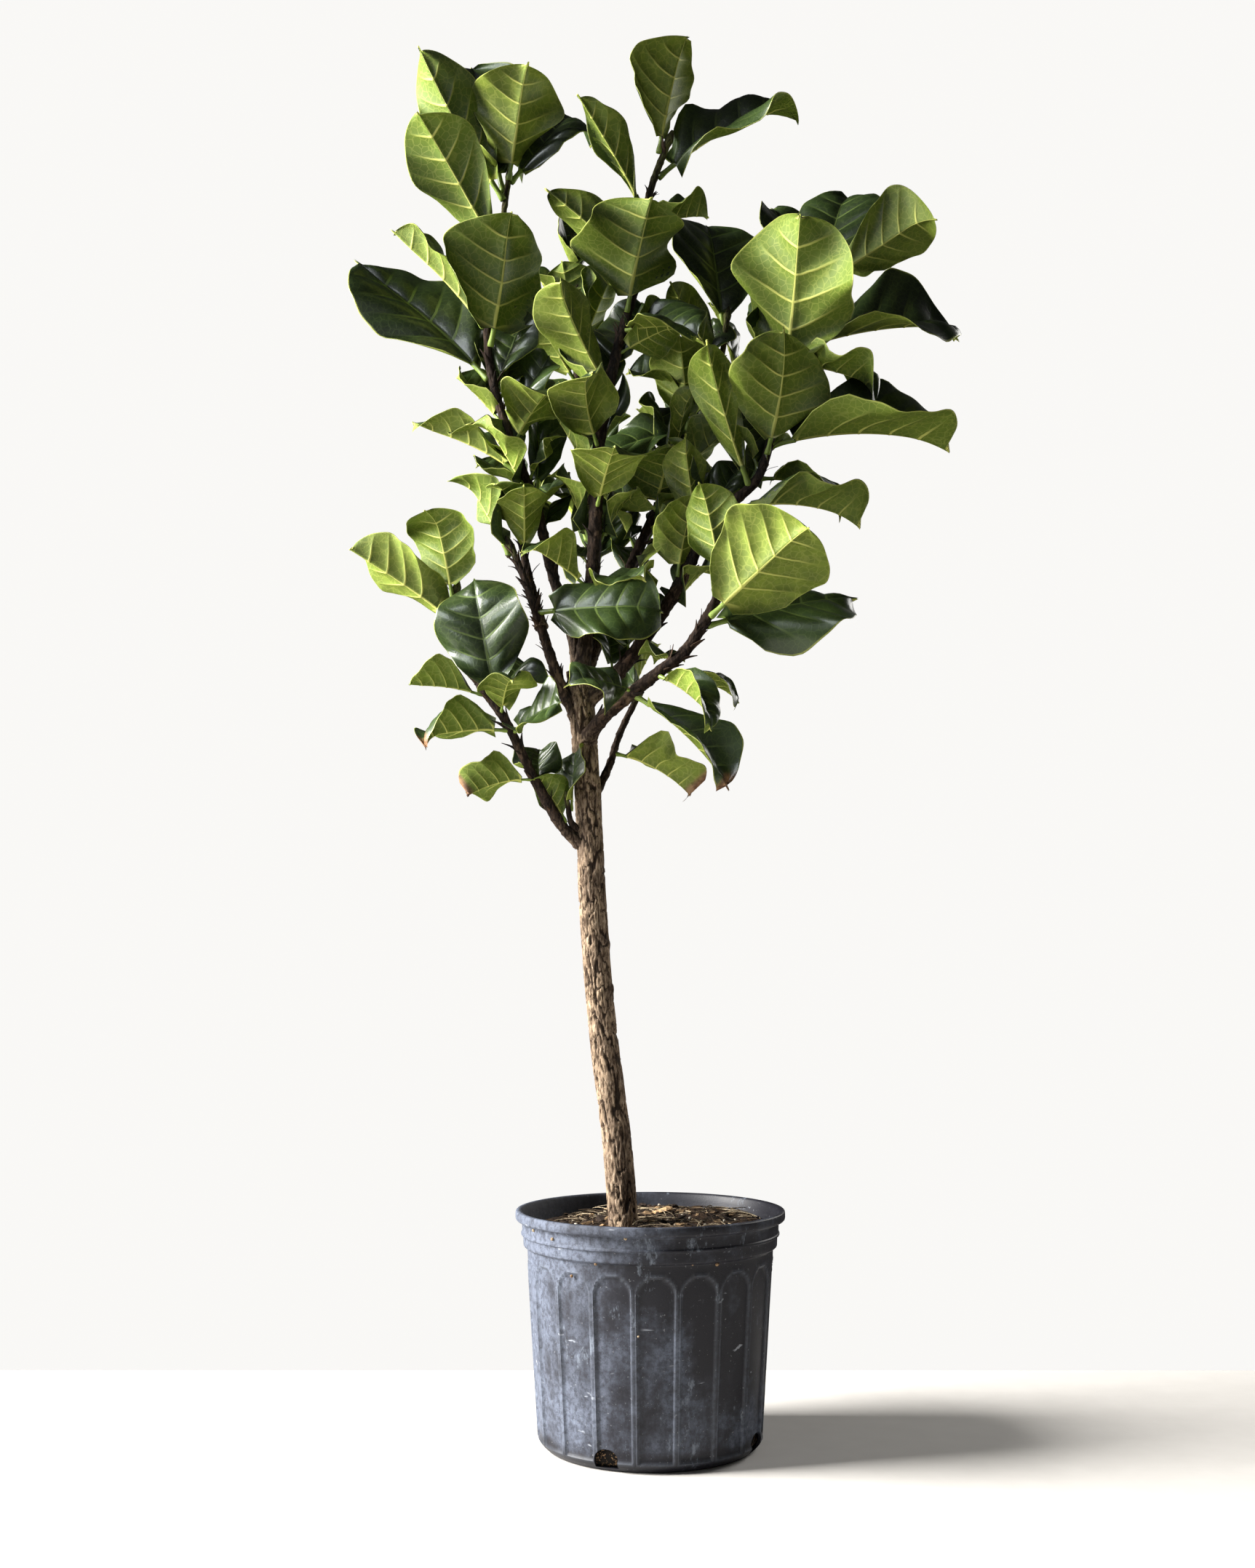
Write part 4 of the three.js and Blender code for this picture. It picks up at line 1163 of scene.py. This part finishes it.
def blade_rings(settings, length, width, bend, fold, habit):
    """Rings of the blade in the leaf's own frame, +X to the tip and +Z above.

    Row s of the blade follows a side vein: its point at t across lies s + (s^0.45 - s)|t|^1.3 of the
    way to the tip, less a small lobe at the base, and t times the outline from the midrib. The two
    halves fold up from the midrib, the midrib bends as an arc, the blade quilts between the side
    veins, its edge ripples, and the whole blade twists, sweeps sideways and curls at its tip. The
    upper face and the underside stand half a thickness either side, and the underside also has
    ridges over the midrib and the side veins.
    """
    spaces = settings.veins
    v, t = leaf_rows(spaces)[:, None], leaf_columns()[None, :]
    s, across = v / spaces, np.abs(t)
    edge = s ** 0.45
    reach = s + (edge - s) * across ** 1.3
    reach = reach - 0.03 * (1 - s) ** 6 * t ** 2
    reach = reach + habit["point"] * np.exp(-(t / 0.13) ** 2) * ease(s, 0.84, 1.0)
    phase = habit["phase"][0] + habit["phase"][1] * (t > 0)
    waist = 1 - habit["waist"] * np.exp(-((edge - 0.40) / 0.17) ** 2)
    scallop = 1 + 0.05 * np.sin(2 * math.pi * 2.3 * edge + phase) * np.sin(math.pi * edge)
    spread = across * outline(edge, habit["fullness"]) * waist * scallop * width / 2
    petiole = PETIOLE_SHARE * length
    travel = petiole + reach * (length - petiole)
    fold = 1.2 * fold
    y, z = arc(spread, width / 2, fold, 0.4)

    gap = np.abs(v - np.round(v))
    quilt = np.sin(math.pi * np.clip(gap * 2, 0, 1) / 2) ** 1.2
    quilt = quilt * np.clip(across * 4, 0, 1) * (1 - across ** 3)
    quilt = quilt * settings.quilting / MM * width / 100
    ripple = width * across ** 1.7 * habit["wave"] * np.sin(2 * math.pi * habit["beat"] * edge + phase)
    ripple = ripple + 0.5 * habit["cup"] * width * across ** 2.5
    brim = habit["brim"] * width * np.maximum(across - 0.6, 0) ** 2
    ripple = ripple + brim * np.sin(math.pi * edge + 0.5 * phase)
    ripple = ripple + 0.012 * width * across ** 4 * np.sin(2 * math.pi * 5.2 * edge + 2 * phase)
    midrib = np.exp(-(spread / 1.5) ** 2) * (1 - 0.75 * s) * np.clip(length / 110, 0.5, 1.2)
    ridge = np.exp(-(gap * (length - petiole) / spaces / 0.75) ** 2) * (1 - 0.8 * across) * (v > 0.4)
    half = settings.thickness / MM / 2
    above = half - 0.55 * midrib - 0.15 * ridge
    below = -half - 1.9 * midrib - 0.55 * ridge
    thickness = np.stack([above, below])
    thickness[:, :, [0, -1]] = 0

    slope = fold - 0.4 * across
    height = z + quilt + ripple + thickness * np.cos(slope)
    aside = np.sign(t) * (y - thickness * np.sin(slope))
    spin = habit["twist"] * (reach - 0.15)
    aside, height = aside * np.cos(spin) - height * np.sin(spin), aside * np.sin(spin) + height * np.cos(spin)
    aside = aside + habit["sweep"] * length * reach ** 2
    height = height - habit["curl"] * length * np.maximum(reach - 0.68, 0) ** 2
    tilt = bend * (0.5 - travel / length)
    x, drop = arc(travel, length, bend / 2, bend)
    points = np.stack([x - height * np.sin(tilt), aside, drop + height * np.cos(tilt)], -1)
    rings = np.concatenate([points[0], points[1][:, -2:0:-1]], 1)
    across_map = np.concatenate([t, t[:, -2:0:-1]], 1) + 0 * v
    return rings, v + 0 * across_map, across_map


def petiole_rings(length, bend, columns):
    """Round rings from inside the bark to the blade, thicker at the foot, on the same arc."""
    petiole = PETIOLE_SHARE * length
    travel = np.linspace(-4.0, petiole - 0.8, 9)[:, None]
    over, under = np.linspace(0, math.pi, columns), np.linspace(math.pi, 2 * math.pi, columns)
    angle = np.concatenate([over, under[1:-1]])
    share = travel / petiole
    radius = 2.1 + 0.9 * np.exp(-((share + 0.1) * 3) ** 2) + 0.35 * share ** 2
    radius = radius * np.clip(length / 110, 0.55, 1.15)
    aside, height = radius * np.cos(angle), radius * np.sin(angle)
    tilt = bend * (0.5 - travel / length)
    x, drop = arc(travel, length, bend / 2, bend)
    return spread(x - height * np.sin(tilt), aside, drop + height * np.cos(tilt))


def leaf_turn(roll, rise, heading):
    """The matrix that rolls about X, lifts +X by rise, then turns to the compass heading."""
    cr, sr, ce, se, ch, sh = (f(a) for a in (roll, rise, heading) for f in (math.cos, math.sin))
    rolled = np.array([(1, 0, 0), (0, cr, -sr), (0, sr, cr)])
    lifted = np.array([(ce, 0, -se), (0, 1, 0), (se, 0, ce)])
    return np.array([(ch, -sh, 0), (sh, ch, 0), (0, 0, 1)]) @ lifted @ rolled


def leaf_foot(stem, share, forward):
    """Where the leaf's petiole meets the bark, on the side of the stem that the leaf points to."""
    centre, tangent = place_on(stem, [share])
    lean = forward @ tangent[0]
    sideways = unit(forward - lean * tangent[0])
    radius = stem[1] + (stem[2] - stem[1]) * share
    return centre[0] + sideways * (radius + 0.4 + PETIOLE_RADIUS * (abs(lean) + 0.1))


def make_leaf(name, stem, row, replaced, material, settings, rng):
    """One leaf as a closed tube, stalk and blade together, turned and set on its stem. Its points carry the
    map of the veins, which face is upper, what is stalk, what has dried, and a random tone that partly paints
    light shining through the leaf."""
    share, heading, rise, length, width, roll, bend, fold = row
    roll, rise, heading, bend, fold = np.radians([roll, rise, heading, bend, fold])
    habit = leaf_habit(rng, CALM_LEAVES.get(name, 1.0))
    blade, v, across = blade_rings(settings, length, width, bend, fold, habit)
    columns = (blade.shape[1] + 2) // 2
    stalk = petiole_rings(length, bend, columns)
    turn = leaf_turn(roll, rise, heading)
    rings = np.concatenate([stalk, blade]) @ turn.T + leaf_foot(stem, share, turn[:, 0])
    quads, triangles = tube_faces(*rings.shape[:2])
    piece = make_piece(name, tube_points(rings), quads, triangles, material, replaced, "leaf")

    count, sides = len(stalk), rings.shape[1]
    on_top = np.zeros(sides)
    on_top[:columns] = 1
    on_top[[0, columns - 1]] = 0.5
    ends = [0.0, 0.0]
    v = np.concatenate([np.full((count, sides), 0.0), v])
    across = np.concatenate([np.tile(across[:1], (count, 1)) * 0.3, across])
    paint_map(piece, "leaf", np.append(v.ravel(), [0, settings.veins]), np.append(across.ravel(), ends))
    paint_attribute(piece, "upper", np.append(np.tile(on_top, len(rings)), [0.5, 0.5]))
    is_stalk = np.repeat(np.append(np.ones(count), np.zeros(len(rings) - count)), sides)
    paint_attribute(piece, "stalk", np.append(is_stalk, [1, 0]))
    shrivel = ease(v / settings.veins, 0.86, 0.95) * (replaced[0] in DRY_TIPS)
    paint_attribute(piece, "dry", np.append(shrivel.ravel(), [0, shrivel.max()]))
    paint_attribute(piece, "tone_and_light_through", np.full(rings.shape[0] * sides + 2, rng.random()))


class FIG_OT_unfold_leaves(Operator):
    """Unfold every leaf on its stem, the large ones and the small ones inside the crown"""

    bl_idname = "fig.unfold_leaves"
    bl_label = "Unfold leaves"

    def execute(self, context):
        settings, rng = context.scene.fig_leaf, np.random.default_rng(LEAF_SEED)
        skin = leaf_finish(settings)
        for stem_name, rows in LEAVES.items():
            for i, row in enumerate(rows, 1):
                name = f"leaf_{stem_name}_{i}"
                make_leaf(name.replace("leaf_", "blade_"), STEMS[stem_name], row, [name], skin, settings, rng)
        for stem_name, rows in SMALL_LEAVES.items():
            for i, row in enumerate(rows, 1):
                make_leaf(f"small_{stem_name}_{i}", STEMS[stem_name], row, ["tree"], skin, settings, rng)
        return {"FINISHED"}


# ---- stage ----


class FIG_OT_set_stage(Operator):
    """Lay the pale floor, hang the lights and stand the camera"""

    bl_idname = "fig.set_stage"
    bl_label = "Set stage"

    def execute(self, context):
        settings, scene = context.scene.fig_stage, context.scene
        floor = lay_floor()
        light_world(scene, settings.sky)
        window = soft_light("window", (-2.7, -0.35, 1.7), (0, 0, 0.75), (1.3, 1.9),
                            settings.window, (1.0, 0.98, 0.95))
        fill = soft_light("fill", (0.2, -2.8, 1.3), (0, 0, 0.7), (1.6, 1.6),
                          settings.fill, (1.0, 0.99, 0.96))
        sheen = soft_light("sheen", (-1.7, -2.2, 1.9), (0, 0, 0.8), (1.3, 1.7),
                           settings.sheen, (0.9, 0.95, 1.0))
        sheen.visible_diffuse = False
        back = soft_light("back", (2.3, 1.9, 1.9), (0, 0, 0.7), (1.6, 1.8),
                          settings.back, (1.0, 0.98, 0.95))
        scene.camera = stand_camera(settings.lens)
        scene.view_settings.view_transform = "Standard"
        return {"FINISHED"}


def lay_floor():
    """A wide flat top that ends a little behind the pot, in a plain pale finish with a faint grain."""
    r = Recipe("pale_floor")
    grain = r.noise(r.place(), 30.0, 4.0)
    r.finish(Base_Color=r.blend(grain, (0.62, 0.60, 0.57), (0.70, 0.68, 0.65)), Roughness=0.75)
    mesh = bpy.data.meshes.new("floor")
    mesh.from_pydata([(-1.4, -1.3, 0), (1.4, -1.3, 0), (1.4, 0.3, 0), (-1.4, 0.3, 0)], [], [(0, 1, 2, 3)])
    mesh.materials.append(r.material)
    floor = bpy.data.objects.new("floor", mesh)
    bpy.context.scene.collection.objects.link(floor)
    return floor


def light_world(scene, strength):
    """An even surround: white where it is seen, and dimmer as a light."""
    world = bpy.data.worlds.new("surround")
    world.use_nodes = True
    nodes, links = world.node_tree.nodes, world.node_tree.links
    background, sight = nodes["Background"], nodes.new("ShaderNodeLightPath")
    seen = nodes.new("ShaderNodeMapRange")
    seen.inputs["To Min"].default_value, seen.inputs["To Max"].default_value = strength, 0.95
    background.inputs[0].default_value = (1.0, 0.99, 0.97, 1.0)
    links.new(sight.outputs["Is Camera Ray"], seen.inputs["Value"])
    links.new(seen.outputs[0], background.inputs[1])
    scene.world = world


def soft_light(name, position, aim, size, power, colour):
    """A rectangular lamp at position that faces aim."""
    lamp = bpy.data.lights.new(name, "AREA")
    lamp.shape, lamp.size, lamp.size_y = "RECTANGLE", *size
    lamp.energy, lamp.color = power, colour
    light = bpy.data.objects.new(name, lamp)
    light.location = position
    away = Vector(position) - Vector(aim)
    light.rotation_euler = away.to_track_quat("Z", "Y").to_euler()
    bpy.context.scene.collection.objects.link(light)
    return light


# Where the camera stands in metres, and how far it is tipped up in degrees.
CAMERA_PLACE = (-0.0214, -1.683, 0.4386)
CAMERA_TILT = 6.1


def stand_camera(lens):
    """A camera in front of the pot at knee height, tipped up a little to take in the crown."""
    camera = bpy.data.cameras.new("camera")
    camera.lens, camera.sensor_width = lens, 36
    view = bpy.data.objects.new("camera", camera)
    view.location = CAMERA_PLACE
    view.rotation_euler = (math.radians(90 + CAMERA_TILT), 0, 0)
    bpy.context.scene.collection.objects.link(view)
    return view


# ---- panel and registration ----


class FIG_PT_plant(Panel):
    """Lists the steps that make the plant, with their settings"""

    bl_idname = "FIG_PT_plant"
    bl_label = "Potted fig"
    bl_space_type = "VIEW_3D"
    bl_region_type = "UI"
    bl_category = "Fig"

    def draw(self, context):
        for operator in OPERATORS:
            self.layout.operator(operator.bl_idname)
        for key in SETTINGS:
            box = self.layout.box()
            group = getattr(context.scene, key)
            for name in group.__annotations__:
                box.prop(group, name)


SETTINGS = {
    "fig_pot": PotSettings, "fig_soil": SoilSettings, "fig_bark": BarkSettings,
    "fig_leaf": LeafSettings, "fig_stage": StageSettings,
}
OPERATORS = [
    FIG_OT_mould_pot, FIG_OT_fill_soil, FIG_OT_scatter_litter, FIG_OT_grow_trunk, FIG_OT_grow_limbs,
    FIG_OT_leave_stipules, FIG_OT_unfold_leaves, FIG_OT_set_stage,
]


def register():
    for cls in [*SETTINGS.values(), *OPERATORS, FIG_PT_plant]:
        bpy.utils.register_class(cls)
    for key, group in SETTINGS.items():
        setattr(bpy.types.Scene, key, PointerProperty(type=group))


def unregister():
    for key in SETTINGS:
        delattr(bpy.types.Scene, key)
    for cls in reversed([*SETTINGS.values(), *OPERATORS, FIG_PT_plant]):
        bpy.utils.unregister_class(cls)


def main():
    """Makes every piece in order."""
    register()
    for operator in OPERATORS:
        group, name = operator.bl_idname.split(".")
        getattr(getattr(bpy.ops, group), name)()


if __name__ == "__main__":
    main()
